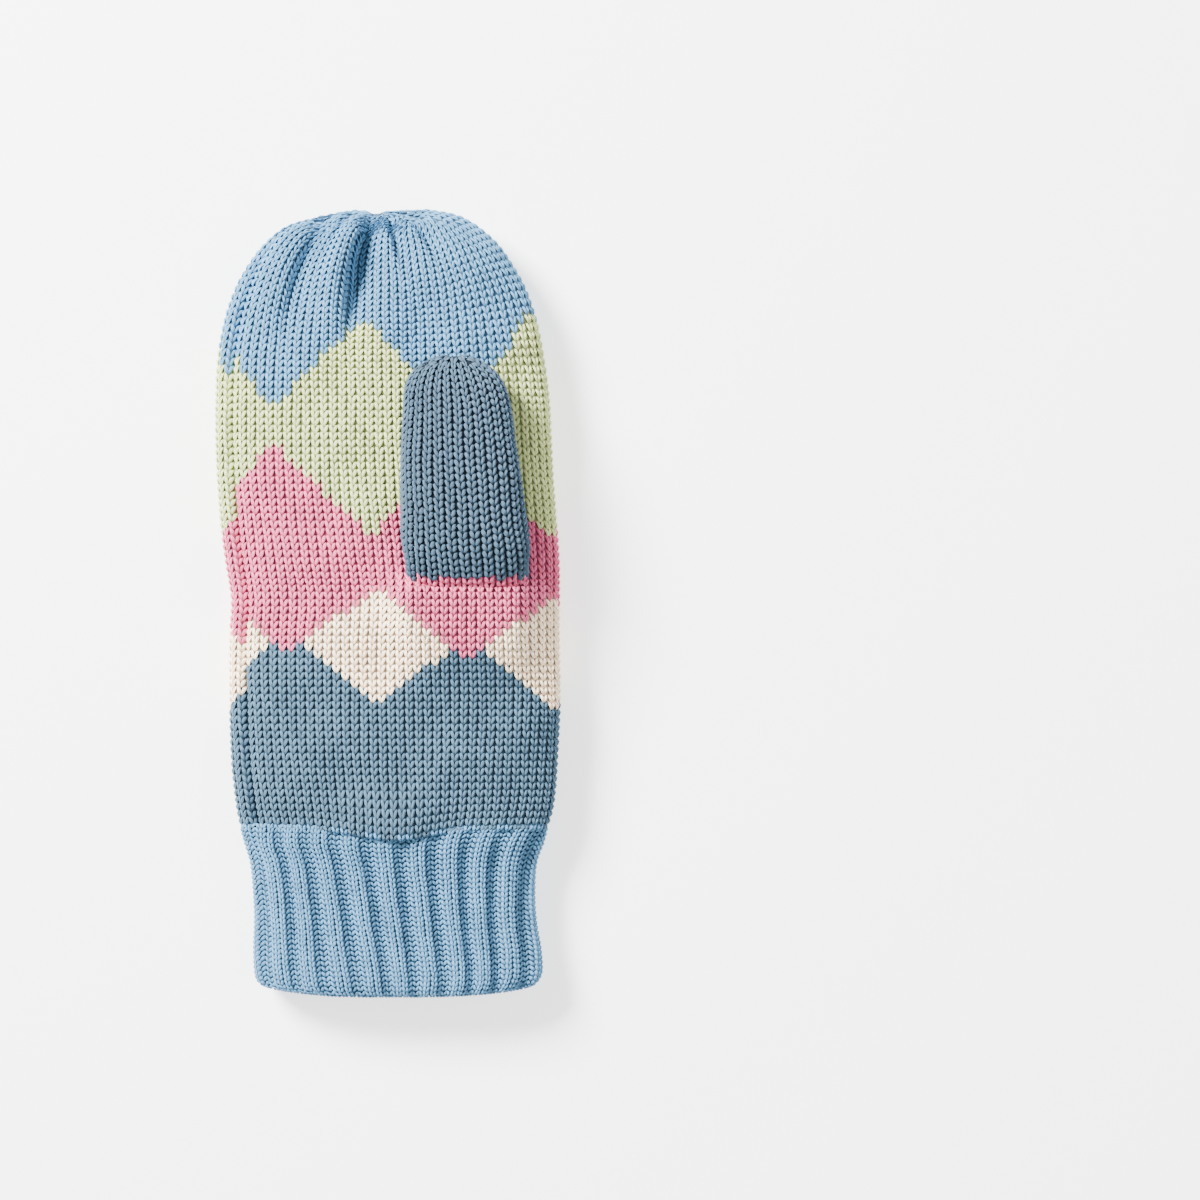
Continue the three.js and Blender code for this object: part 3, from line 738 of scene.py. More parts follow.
@dataclass
class HandShape:
    """The hand of the mitten, from the join with the cuff to the crown.

    Attributes:
        join_y: Where it joins the cuff.
        thumb: Where the thumb is set in.
    """

    join_y: float
    thumb: ThumbPlace
    length: float = 204.0
    width: float = 110.5
    thickness: float = 24.0
    wall: float = 3.2
    crown_wall: float = 13.0
    edge_height: float = 10.8
    seam_wrap: float = 10.0
    seam_depth: float = 2.2
    seam_half_width: float = 3.4
    seam_margin: float = 1.6
    gather_x: float = -3.6
    pleat_depth: float = 7.2
    pleat_width: float = 3.3
    pleat_flanks: tuple[float, float] = (0.5, 2.0)
    gather_fade: float = 4.0
    notch_depth: float = 1.3
    notch_width: float = 5.0
    heel_rise: float = 8.0
    heel_length: float = 40.0
    heel_fall: float = 7.0
    heel_side: float = 9.0
    blouse_sag: float = 3.4
    blouse_rise: float = 2.6
    blouse_half_width: float = 17.0
    blouse_length: float = 16.0
    thumb_dent: float = 1.0
    hem_drop: float = 1.2
    hem_tuck: tuple[float, float, float] = (0.98, 1.0, 0.9)
    ripple: float = 0.3

    @property
    def perimeter(self) -> float:
        """Gives the rough way round the hand, two widths and one thickness."""
        return 2 * self.width + self.thickness

    @property
    def seam_start(self) -> float:
        """Gives the side seam's place, as a share of the perimeter from the left edge."""
        return self.seam_wrap / self.perimeter

    @property
    def thumb_base_y(self) -> float:
        """Gives the height of the pick-up row at the thumb's base."""
        return self.join_y + self.thumb.base_from_join

    def rows(self, t: Array) -> Table:
        """Gives the sections in millimetres at row positions of the table."""
        row = {name: smooth(HAND_SECTIONS[name], t) for name in HAND_SECTIONS}
        return {
            "y": self.join_y + row["at"] * self.length,
            "left": row["left"] * self.width,
            "right": row["right"] * self.width,
            "top": row["top"] * self.thickness,
            "floor": row["floor"] * self.thickness,
            "edge": np.full_like(t, self.edge_height),
        }

    def palm_height(self, x: Array, y: Array) -> Array:
        """Gives the height of the plain palm over a point, as its rounded section has it."""
        marks = self.join_y + HAND_SECTIONS["at"] * self.length
        t = np.interp(y, marks, np.arange(len(marks)))
        row = self.rows(t)
        centre = (row["left"] + row["right"]) / 2
        half = (row["right"] - row["left"]) / 2
        off = clamp01(np.abs(x - centre) / half)
        return row["edge"] + (row["top"] - row["edge"]) * (1 - off**FLATNESS) ** (1 / FLATNESS)

    def pleats(self, pleats: tuple[Pleat, ...], x: Array, y: Array) -> Array:
        """Works out the depth of the gathers.

        Each one's line is a parabola through three places. Its strength rises and falls as a sine
        of its share to the power 0.6, times a bell less a broader bell beside it.

        Args:
            pleats: The gathers of one side.
            x: Places across.
            y: Places along.

        Returns:
            The depth at each place.
        """
        at = (y - self.join_y) / self.length
        depth = np.zeros(np.broadcast(x, at).shape)
        for pleat in pleats:
            share = (pleat.at[0] - at) / (pleat.at[0] - pleat.at[1])
            is_inside = (share > 0) & (share < 1)
            share = clamp01(share)
            first, middle, last = pleat.x
            bend = 4 * middle - 3 * first - last
            curve = 2 * first - 4 * middle + 2 * last
            line = (first + bend * share + curve * share**2) * self.width
            width = pleat.width * self.pleat_width
            strength = pleat.depth * self.pleat_depth * np.sin(np.pi * share**0.6) ** 1.3 * is_inside
            off = x - line
            valley = bell(off, width * np.where(off < 0, *self.pleat_flanks))
            roll = pleat.roll * bell(off + 2 * width, 1.3 * width)
            depth += strength * (valley - roll)
        return depth

    def rise(self, x: Array, y: Array) -> Array:
        """Gives how far the palm swells under the thumb, as a product of four eased steps."""
        left = self.thumb.x - self.thumb.width / 2
        right = self.thumb.x + self.thumb.width / 2
        from_left = ease(left - self.heel_side, left + self.heel_side / 2, x)
        from_right = ease(right + self.heel_side, right - self.heel_side / 2, x)
        up = ease(self.thumb_base_y - self.heel_length, self.thumb_base_y, y)
        down = ease(self.thumb_base_y + self.heel_fall, self.thumb_base_y, y)
        return self.heel_rise * from_left * from_right * up * down

    def dent(self, x: Array, y: Array) -> Array:
        """Gives how far the thumb presses the palm down where it lies on it."""
        left = self.thumb.x - self.thumb.width / 2
        right = self.thumb.x + self.thumb.width / 2
        tip = self.thumb_base_y + self.thumb.length
        across = ease(left - 1, left + 3, x) * ease(right + 1, right - 5, x)
        along = ease(self.thumb_base_y + 5, self.thumb_base_y + 12, y) * ease(tip, tip - 8, y)
        return self.thumb_dent * across * along

    def blouse(self, x: Array, y: Array) -> Array:
        """Gives how far the palm's lower edge hangs over the cuff, from 0 to 1."""
        centre = (HAND_SECTIONS["left"][0] + HAND_SECTIONS["right"][0]) / 2 * self.width
        return bell(x - centre, self.blouse_half_width) * ease(self.join_y + self.blouse_length, self.join_y, y)

    def ripples(self, x: Array, y: Array) -> Array:
        """Gives the soft unevenness of the palm, a sum of slanted waves 20 to 50 mm long."""
        waves = ((0.21, 0.09, 0.4, 1.0), (-0.12, 0.19, 2.1, 1.0), (0.05, 0.31, 4.4, 0.6), (0.29, -0.14, 1.3, 0.5))
        return self.ripple * sum(size * np.sin(kx * x + ky * y + turn) for kx, ky, turn, size in waves)

    def groove(self, t: Array, shares: Array, margin: float) -> Array:
        """Gives the depth of the side seam's groove, which fades out at the crown.

        Args:
            t: Row positions of the table.
            shares: Shares of the perimeter from the side seam.
            margin: How much deeper and wider than outside it is.

        Returns:
            The depth, rings by shares.
        """
        fade = ease(1, 0.85, t / (len(HAND_SECTIONS["at"]) - 1))[:, None]
        near_seam = np.minimum(shares, 1 - shares) * self.perimeter
        return (self.seam_depth + margin) * fade * bell(near_seam, self.seam_half_width / 2 + margin)

    def rings(self, t: Array, shares: Array) -> Array:
        """Works out rings of the outer side, each a rounded section with its seam.

        Args:
            t: Row positions of the table.
            shares: Shares of the perimeter from the side seam.

        Returns:
            Places, rings by shares by 3.
        """
        row = self.rows(t)
        x, z, nx, nz = walk_sections(row, shares, self.seam_start)
        y, edge, top = (row[name][:, None] for name in ("y", "edge", "top"))
        upper = ease(0, 0.6, (z - edge) / (top - edge))
        groove = self.groove(t, shares, 0.0)
        hang = self.blouse(x, y)
        raised = self.rise(x, y) + self.blouse_rise * hang - self.dent(x, y) + self.ripples(x, y)
        height = z - nz * groove + upper * raised
        near_tip = ease(0.96, 1, (y - self.join_y) / self.length)
        notch = self.notch_depth * bell(x - self.gather_x, self.notch_width) * near_tip
        along = y - notch - upper * self.blouse_sag * hang
        return np.stack((x - nx * groove, along, np.maximum(0.0, height)), axis=2)

    def hollow_rings(self, t: Array, shares: Array) -> Array:
        """Works out rings of the inner side, a wall's thickness inside the outer ones.

        Args:
            t: Row positions of the table.
            shares: Shares of the perimeter from the side seam.

        Returns:
            Places, rings by shares by 3.
        """
        row = self.rows(t)
        centre = (row["left"] + row["right"]) / 2
        narrow = 1 - self.wall / (self.width / 2)
        upper_thin = 1 - self.wall / (self.thickness - self.edge_height)
        lower_thin = 1 - self.wall / self.edge_height
        inner = {
            "left": centre + (row["left"] - centre) * narrow,
            "right": centre + (row["right"] - centre) * narrow,
            "top": row["edge"] + (row["top"] - row["edge"]) * upper_thin,
            "floor": row["edge"] - (row["edge"] - row["floor"]) * lower_thin,
            "edge": row["edge"],
        }
        x, z, nx, nz = walk_sections(inner, shares, self.seam_start)
        groove = self.groove(t, shares, self.seam_margin)
        x -= nx * groove
        z -= nz * groove
        short = (self.length - self.crown_wall) / self.length
        y = self.join_y + (row["y"][:, None] - self.join_y) * short
        upper = ease(0, 0.6, (z - inner["edge"][:, None]) / (inner["top"] - inner["edge"])[:, None])
        hang = self.blouse(x, y)
        height = np.maximum(self.wall, z) + upper * (self.rise(x, y) + self.blouse_rise * hang)
        return np.stack((x, y - upper * self.blouse_sag * hang, height), axis=2)

    def gathered(self, points: Array) -> Array:
        """Presses the gathers into the crown, along the normal of each side."""
        normals = Skin(points).normals
        x, y = points[..., 0], points[..., 1]
        lift = (points[..., 2] - self.edge_height) / self.gather_fade
        depth = ease(0, 1, lift) * self.pleats(PALM_PLEATS, x, y) + ease(0, 1, -lift) * self.pleats(BACK_PLEATS, x, y)
        gathered = points - normals * depth[..., None]
        gathered[..., 2] = np.maximum(0.0, gathered[..., 2])
        return gathered

    def closed(self, rings: Array, pole: Array) -> Array:
        """Adds rings that close in on a pole, each nearer to it by a share."""
        nearing = np.array(POLE_SHARES)[:, None, None]
        return np.concatenate((rings, rings[-1] + (pole - rings[-1]) * nearing))

    def skin(self) -> Skin:
        """Makes the outer side, with rows of even length for the courses to follow."""
        t = np.linspace(0, len(HAND_SECTIONS["at"]) - 1, HAND_ROWS)
        shares = np.arange(HAND_SHARES) / HAND_SHARES
        pole = np.array((self.gather_x, self.join_y + self.length - self.notch_depth, self.edge_height))
        rings = self.rings(t, shares)
        middle = rings[0].mean(axis=0)
        tucked = middle + (rings[0] - middle) * np.array(self.hem_tuck) - np.array((0.0, self.hem_drop, 0.0))
        points = self.closed(np.concatenate((tucked[None], self.gathered(rings))), pole)
        first = self.join_y + STRAIGHT_SHARE * self.length
        start = np.concatenate(([-np.inf], self.rows(t)["y"], np.full(len(POLE_SHARES), np.inf))) - first
        return Skin(even_rows(points, start, HAND_ROWS))

    def hollow(self) -> Skin:
        """Makes the inner side, with rows that match those of the outer side."""
        t = np.linspace(0, len(HAND_SECTIONS["at"]) - 1, HAND_ROWS)
        shares = np.arange(HAND_SHARES) / HAND_SHARES
        pole = np.array((0.0, self.join_y + self.length - self.crown_wall, self.edge_height))
        points = self.closed(self.gathered(self.hollow_rings(t, shares)), pole)
        first = self.join_y + STRAIGHT_SHARE * (self.length - self.crown_wall)
        start = np.concatenate((points[: len(t), 0, 1], np.full(len(POLE_SHARES), np.inf))) - first
        return Skin(even_rows(points, start, HAND_ROWS))


@dataclass
class ThumbShape:
    """The thumb, from inside the palm's wall to its tip.

    Attributes:
        hand: The hand that it lies on.
    """

    hand: HandShape
    thickness: float = 15.0
    wall: float = 2.8
    tip_wall: float = 6.0
    drape: float = 0.7
    reach: float = 1.4
    tip_x: float = -0.08
    tip_height: float = 0.4
    base_flare: float = 2.2
    flare_rows: float = 6.0

    @property
    def rest_z(self) -> float:
        """Gives the height that the thumb lies at."""
        return self.hand.thickness + GAP

    def rings(self, t: Array, shares: Array, thin: float) -> Array:
        """Works out rings of the thumb.

        Each is a rounded section between an upper and a lower line, laid on the rounded palm.

        Args:
            t: Row positions of the table.
            shares: Shares of the perimeter from the left edge.
            thin: How far inside the outer side the rings are.

        Returns:
            Places, rings by shares by 3.
        """
        row = {name: smooth(THUMB_SECTIONS[name], t) for name in THUMB_SECTIONS}
        place = self.hand.thumb
        into = row["into"] * (self.hand.wall + self.reach)
        front_y = self.hand.thumb_base_y + row["front_at"] * place.length
        back_y = self.hand.thumb_base_y + row["back_at"] * place.length
        front_z = self.rest_z + row["front"] * self.thickness - into
        back_z = self.rest_z + row["back"] * self.thickness - into
        thick = np.hypot(front_y - back_y, front_z - back_z)
        flare = self.base_flare * ease(self.flare_rows, 0, t)
        flat = {
            "left": place.x + row["left"] * place.width + thin - flare,
            "right": place.x + row["right"] * place.width - thin + flare,
            "top": thick / 2 - thin,
            "floor": thin - thick / 2,
            "edge": np.zeros_like(t),
        }
        x, across, _, _ = walk_sections(flat, shares, 0.0)
        y = ((front_y + back_y) / 2)[:, None] + across * ((front_y - back_y) / thick)[:, None]
        z = ((front_z + back_z) / 2)[:, None] + across * ((front_z - back_z) / thick)[:, None]
        return np.stack((x, y, z + self.draped(x, y)), axis=2)

    def draped(self, x: Array, y: Array) -> Array:
        """Gives how far the thumb follows the palm's rounding down."""
        return self.drape * (self.hand.palm_height(x, y) - self.hand.thickness)

    def pole(self, reach: float) -> Array:
        """Gives the point that closes the thumb, at a length from its base."""
        x = np.array(self.hand.thumb.x + self.tip_x * self.hand.thumb.width)
        y = np.array(self.hand.thumb_base_y + reach)
        return np.array((x, y, self.rest_z + self.tip_height * self.thickness + self.draped(x, y)))

    def skin(self) -> Skin:
        """Makes the outer side, with rows of even length."""
        t = np.linspace(0, len(THUMB_SECTIONS["left"]) - 1, THUMB_ROWS)
        shares = np.arange(THUMB_SHARES) / THUMB_SHARES
        points = self.hand.closed(self.rings(t, shares, 0.0), self.pole(self.hand.thumb.length))
        return Skin(even_rows(points, np.arange(len(points)) * 1.0, THUMB_ROWS))

    def hollow(self) -> Skin:
        """Makes the inner side, which ends a thicker wall before the tip."""
        t = np.linspace(0, len(THUMB_SECTIONS["left"]) - 3, THUMB_ROWS)
        shares = np.arange(THUMB_SHARES) / THUMB_SHARES
        pole = self.pole(self.hand.thumb.length - self.tip_wall)
        points = self.hand.closed(self.rings(t, shares, self.wall), pole)
        return Skin(even_rows(points, np.arange(len(points)) * 1.0, THUMB_ROWS))


@dataclass
class CuffShape:
    """The ribbed cuff, from its foot up to the join with the hand.

    Attributes:
        hand: The hand that it joins.
    """

    hand: HandShape
    length: float = 56.0
    width: float = 96.4
    thickness: float = 20.0
    wall: float = 2.6
    edge_height: float = 9.0
    rib_count: int = 20
    rib_depth: float = 2.3
    rib_flatness: float = 0.85
    crest_share: float = 0.15
    foot_bow: float = 3.2
    join_sag: float = 2.0
    tuck_depth: float = 0.8
    tuck_rise: float = 1.6

    def rows(self, t: Array) -> Table:
        """Gives the sections in millimetres at row positions, from the join down to the foot."""
        hand = self.hand
        join = hand.rows(np.zeros(1))
        first = {**{name: join[name] for name in ("left", "right", "top", "floor", "edge")}}
        first.update(y=join["y"] - GAP, rib=np.array([0.3 * self.rib_depth]), bow=np.zeros(1))
        scale = {
            "left": self.width,
            "right": self.width,
            "top": self.thickness,
            "floor": self.thickness,
            "rib": self.rib_depth,
            "bow": self.foot_bow,
        }
        rest = {name: CUFF_SECTIONS[name] * size for name, size in scale.items()}
        rest["y"] = hand.join_y - CUFF_SECTIONS["at"] * self.length
        rest["edge"] = np.full(len(rest["y"]), self.edge_height)
        return {name: smooth(np.concatenate((first[name], rest[name])), t) for name in rest}

    def rib_lean(self, shares: Array, down: Array) -> Array:
        """Gives how far the ribs stand off their even places, as a share of the perimeter."""
        half = np.where(shares < 0.5, shares * 2, 2 - shares * 2)
        t = half * (len(RIB_LEAN["at_top"]) - 1)
        top = smooth(RIB_LEAN["at_top"], t)
        foot = smooth(RIB_LEAN["at_foot"], t)
        return (top + (foot - top) * down) / self.rib_count

    def rings(self, t: Array, shares: Array, inset: Array) -> Array:
        """Works out rings of the cuff, with ribs as a wave along the normal.

        Args:
            t: Row positions, from the join down.
            shares: Shares of the perimeter, with a crest at each whole number of ribs.
            inset: How far inside the outer side each ring is.

        Returns:
            Places, rings by shares by 3.
        """
        row = self.rows(t)
        down = clamp01((self.hand.join_y - row["y"]) / self.length)[:, None]
        x, z, nx, nz = walk_sections(row, shares + self.rib_lean(shares, down), 0.0)
        wave = np.cos(2 * np.pi * self.rib_count * shares)
        height = ease(-self.rib_flatness, self.rib_flatness, wave + self.crest_share) - 1
        out = row["rib"][:, None] * height - inset[:, None]
        centre = ((row["left"] + row["right"]) / 2)[:, None]
        half = ((row["right"] - row["left"]) / 2)[:, None]
        bow = row["bow"][:, None] * clamp01(np.abs(x - centre) / half) ** 3
        upper = ease(0, 0.6, (z - row["edge"][:, None]) / (row["top"] - row["edge"])[:, None])
        joined = (1 - clamp01(t))[:, None]
        sag = upper * self.join_sag * self.hand.blouse(x, self.hand.join_y) * joined
        height = np.maximum(inset[:, None], z + nz * out)
        return np.stack((x + nx * out, row["y"][:, None] + bow - sag, height), axis=2)

    def skin(self) -> Skin:
        """Makes the outer side from just inside the mouth, round its edge and up to the join."""
        last = float(len(CUFF_SECTIONS["at"]))
        shares = np.arange(CUFF_SHARES) / CUFF_SHARES
        turned = self.rings(np.array((last - 0.9, last - 0.25)), shares, np.array((self.wall, 0.97 * self.wall)))
        edge = self.rings(np.array((last, last)), shares, np.array((0.6, 0.3)) * self.wall)
        outside = self.rings(np.linspace(last - 0.12, 0, CUFF_ROWS), shares, np.zeros(CUFF_ROWS))
        tucked = self.rings(np.zeros(1), shares, np.full(1, self.tuck_depth)) + np.array((0.0, self.tuck_rise, 0.0))
        points = np.concatenate((turned, edge, outside, tucked))
        return Skin(even_rows(points, np.arange(len(points)) * 1.0, CUFF_ROWS))

    def hollow(self) -> Skin:
        """Makes the inner side, from the mouth up to the join."""
        last = float(len(CUFF_SECTIONS["at"]))
        shares = np.arange(CUFF_SHARES) / CUFF_SHARES
        points = self.rings(np.linspace(last - 0.1, 0, CUFF_ROWS), shares, np.full(CUFF_ROWS, self.wall))
        return Skin(points)


# Finishes


@dataclass
class Wire:
    """A shader socket whose value Python's operators work on, each through a Math node.

    Attributes:
        graph: The graph that it belongs to.
        socket: The output socket.
    """

    graph: Graph
    socket: bpy.types.NodeSocket

    def math(self, operation: str, *values: Wire | float) -> Wire:
        """Adds a Math node of that operation and gives its result."""
        return self.graph.node("ShaderNodeMath", {"operation": operation}, dict(enumerate(values)))

    def __add__(self, other: Wire | float) -> Wire:
        """Adds."""
        return self.math("ADD", self, other)

    def __radd__(self, other: float) -> Wire:
        """Adds, with the number first."""
        return self.math("ADD", other, self)

    def __sub__(self, other: Wire | float) -> Wire:
        """Subtracts."""
        return self.math("SUBTRACT", self, other)

    def __rsub__(self, other: float) -> Wire:
        """Subtracts from a number."""
        return self.math("SUBTRACT", other, self)

    def __mul__(self, other: Wire | float) -> Wire:
        """Multiplies."""
        return self.math("MULTIPLY", self, other)

    def __rmul__(self, other: float) -> Wire:
        """Multiplies, with the number first."""
        return self.math("MULTIPLY", other, self)

    def sine(self) -> Wire:
        """Gives the sine."""
        return self.math("SINE", self)


@dataclass
class Graph:
    """The nodes of one material.

    Attributes:
        material: The material.
    """

    material: bpy.types.Material

    @classmethod
    def new(cls, name: str) -> Graph:
        """Makes a material with no nodes."""
        material = bpy.data.materials.new(name)
        material.use_nodes = True
        material.node_tree.nodes.clear()
        return cls(material)

    def node(self, kind: str, settings: dict[str, Any], inputs: dict[Any, Any], output: int | str = 0) -> Wire:
        """Adds a node.

        Args:
            kind: The node's type.
            settings: Its own settings, set first.
            inputs: Values or links of its sockets, by name or number.
            output: The output to give back.

        Returns:
            The output's wire.
        """
        made = self.material.node_tree.nodes.new(kind)
        for name, value in settings.items():
            setattr(made, name, value)
        for name, value in inputs.items():
            if isinstance(value, Wire):
                self.material.node_tree.links.new(value.socket, made.inputs[name])
            else:
                made.inputs[name].default_value = value
        return Wire(self, made.outputs[output] if len(made.outputs) else None)

    def colour(self, factor: Wire, first: Any, second: Any) -> Wire:
        """Mixes two colours by a factor."""
        settings = {"data_type": "RGBA"}
        return self.node("ShaderNodeMix", settings, {"Factor": factor, 6: first, 7: second}, 2)


def shade(colour: tuple[float, float, float], share: float) -> tuple[float, float, float, float]:
    """Scales a colour and adds a full alpha."""
    return (colour[0] * share, colour[1] * share, colour[2] * share, 1.0)


@dataclass(frozen=True)
class YarnFinish:
    """Soft, matt, lightly heathered yarn.

    Attributes:
        name: The finish's name.
        colour: Its colour, linear.
        depth: The ground's brightness between the stitches, as a share of the yarn's, which paints the shade in the
            gaps.
    """

    name: str
    colour: tuple[float, float, float]
    # Painted shade: the ground between the stitches is darkened to this share of the yarn's colour.
    depth: float = 0.4
    fibre_scale: float = 1500.0
    heather_scale: float = 240.0
    bump: float = 0.35
    bump_distance: float = 0.0003
    roughness: float = 0.92
    sheen: float = 0.25

    def yarn(self) -> bpy.types.Material:
        """Makes the material of the yarn legs, with fibres as bump and small colour changes."""
        return self.make(f"{self.name}_yarn", 1.0, self.sheen)

    def ground(self) -> bpy.types.Material:
        """Makes the material of the loops that lie behind the legs, the yarn's colour darkened as painted shade in the
        gaps.
        """
        # The ground's colour is the yarn's darkened by depth: painted shade in the gaps between the stitches.
        return self.make(f"{self.name}_shaded_loops", self.depth, 0.0)

    def pair(self) -> tuple[bpy.types.Material, bpy.types.Material]:
        """Makes both materials, the legs' first."""
        return self.yarn(), self.ground()

    def make(self, name: str, share: float, sheen: float) -> bpy.types.Material:
        """Makes a material of the yarn.

        Args:
            name: The material's name.
            share: Its brightness as a share of the yarn's; below 1 it is painted shade.
            sheen: The weight of its sheen.

        Returns:
            The material.
        """
        graph = Graph.new(name)
        place = graph.node("ShaderNodeTexCoord", {}, {}, "Object")
        fibre = graph.node("ShaderNodeTexNoise", {}, {"Vector": place, "Scale": self.fibre_scale, "Detail": 3.0})
        heather = graph.node("ShaderNodeTexNoise", {}, {"Vector": place, "Scale": self.heather_scale, "Detail": 2.0})
        mottle = fibre * 1.3 + heather * 1.4 - 0.85
        colour = graph.colour(mottle, shade(self.colour, 0.72 * share), shade(self.colour, 1.25 * share))
        bump = graph.node(
            "ShaderNodeBump", {}, {"Height": fibre, "Strength": self.bump, "Distance": self.bump_distance}
        )
        surface = graph.node(
            "ShaderNodeBsdfPrincipled",
            {},
            {
                "Base Color": colour,
                "Roughness": self.roughness,
                "Specular IOR Level": 0.2,
                "Sheen Weight": sheen,
                "Sheen Roughness": 0.6,
                "Sheen Tint": shade(self.colour, 1.1),
                "Normal": bump,
            },
        )
        graph.node("ShaderNodeOutputMaterial", {}, {"Surface": surface})
        return graph.material


@dataclass(frozen=True)
class FleeceFinish:
    """The brushed lining, pale and matt, that shows in the mouth of the cuff."""

    name: str = "brushed_fleece"
    colour: tuple[float, float, float] = (0.62, 0.57, 0.5)
    tuft_scale: float = 520.0
    bump: float = 0.8
    bump_distance: float = 0.0008

    def make(self) -> bpy.types.Material:
        """Makes the material, with tufts as bump."""
        graph = Graph.new(self.name)
        place = graph.node("ShaderNodeTexCoord", {}, {}, "Object")
        tuft = graph.node("ShaderNodeTexNoise", {}, {"Vector": place, "Scale": self.tuft_scale, "Detail": 5.0})
        colour = graph.colour(tuft, shade(self.colour, 0.7), shade(self.colour, 1.2))
        bump = graph.node(
            "ShaderNodeBump", {}, {"Height": tuft, "Strength": self.bump, "Distance": self.bump_distance}
        )
        settings = {"Base Color": colour, "Roughness": 0.95, "Sheen Weight": 0.3, "Normal": bump}
        surface = graph.node("ShaderNodeBsdfPrincipled", {}, settings)
        graph.node("ShaderNodeOutputMaterial", {}, {"Surface": surface})
        return graph.material


YARNS = {
    Yarn.SKY: YarnFinish("sky", (0.095, 0.231, 0.384)),
    Yarn.SAGE: YarnFinish("sage", (0.49, 0.555, 0.24)),
    Yarn.PINK: YarnFinish("pink", (0.6, 0.115, 0.218)),
    Yarn.CREAM: YarnFinish("cream", (0.95, 0.76, 0.55)),
    Yarn.SLATE: YarnFinish("slate", (0.061, 0.115, 0.168)),
}
# A darker copy of the slate yarn for the thumb, with its ground darkened further as painted shade in the gaps.
THUMB_SLATE = YarnFinish("thumb_slate", (0.052, 0.09, 0.132), 0.15)
# A copy of the sky yarn for the cuff, its colour set apart from the hand's to offset the ribs' shading, and its ground
# less darkened as painted shade in the gaps.
CUFF_SKY = YarnFinish("cuff_sky", (0.088, 0.215, 0.354), 0.5)


# The dressed mitten


@dataclass(frozen=True)
class ZigzagBand:
    """The lower edge of a band of one colour, a triangle wave round the hand.

    Attributes:
        yarn: The yarn above the edge.
        middle: The height of the wave's middle, in courses.
        swing: How far it swings, in courses.
        phase: How far it is shifted round, in wales.
    """

    yarn: Yarn
    middle: float
    swing: float
    phase: float

    def height(self, wale: Array, period: float) -> Array:
        """Gives the edge's height over a wale, as the distance from the nearest peak."""
        share = np.mod((wale + self.phase) / period, 1.0)
        return self.middle + self.swing * (np.abs(4 * share - 2) - 1)


BANDS = (
    ZigzagBand(Yarn.CREAM, 22.5, 4.5, 15.0),
    ZigzagBand(Yarn.PINK, 29.0, 4.5, 5.0),
    ZigzagBand(Yarn.SAGE, 47.0, 6.0, 15.0),
    ZigzagBand(Yarn.SKY, 65.0, 7.0, 5.0),
)


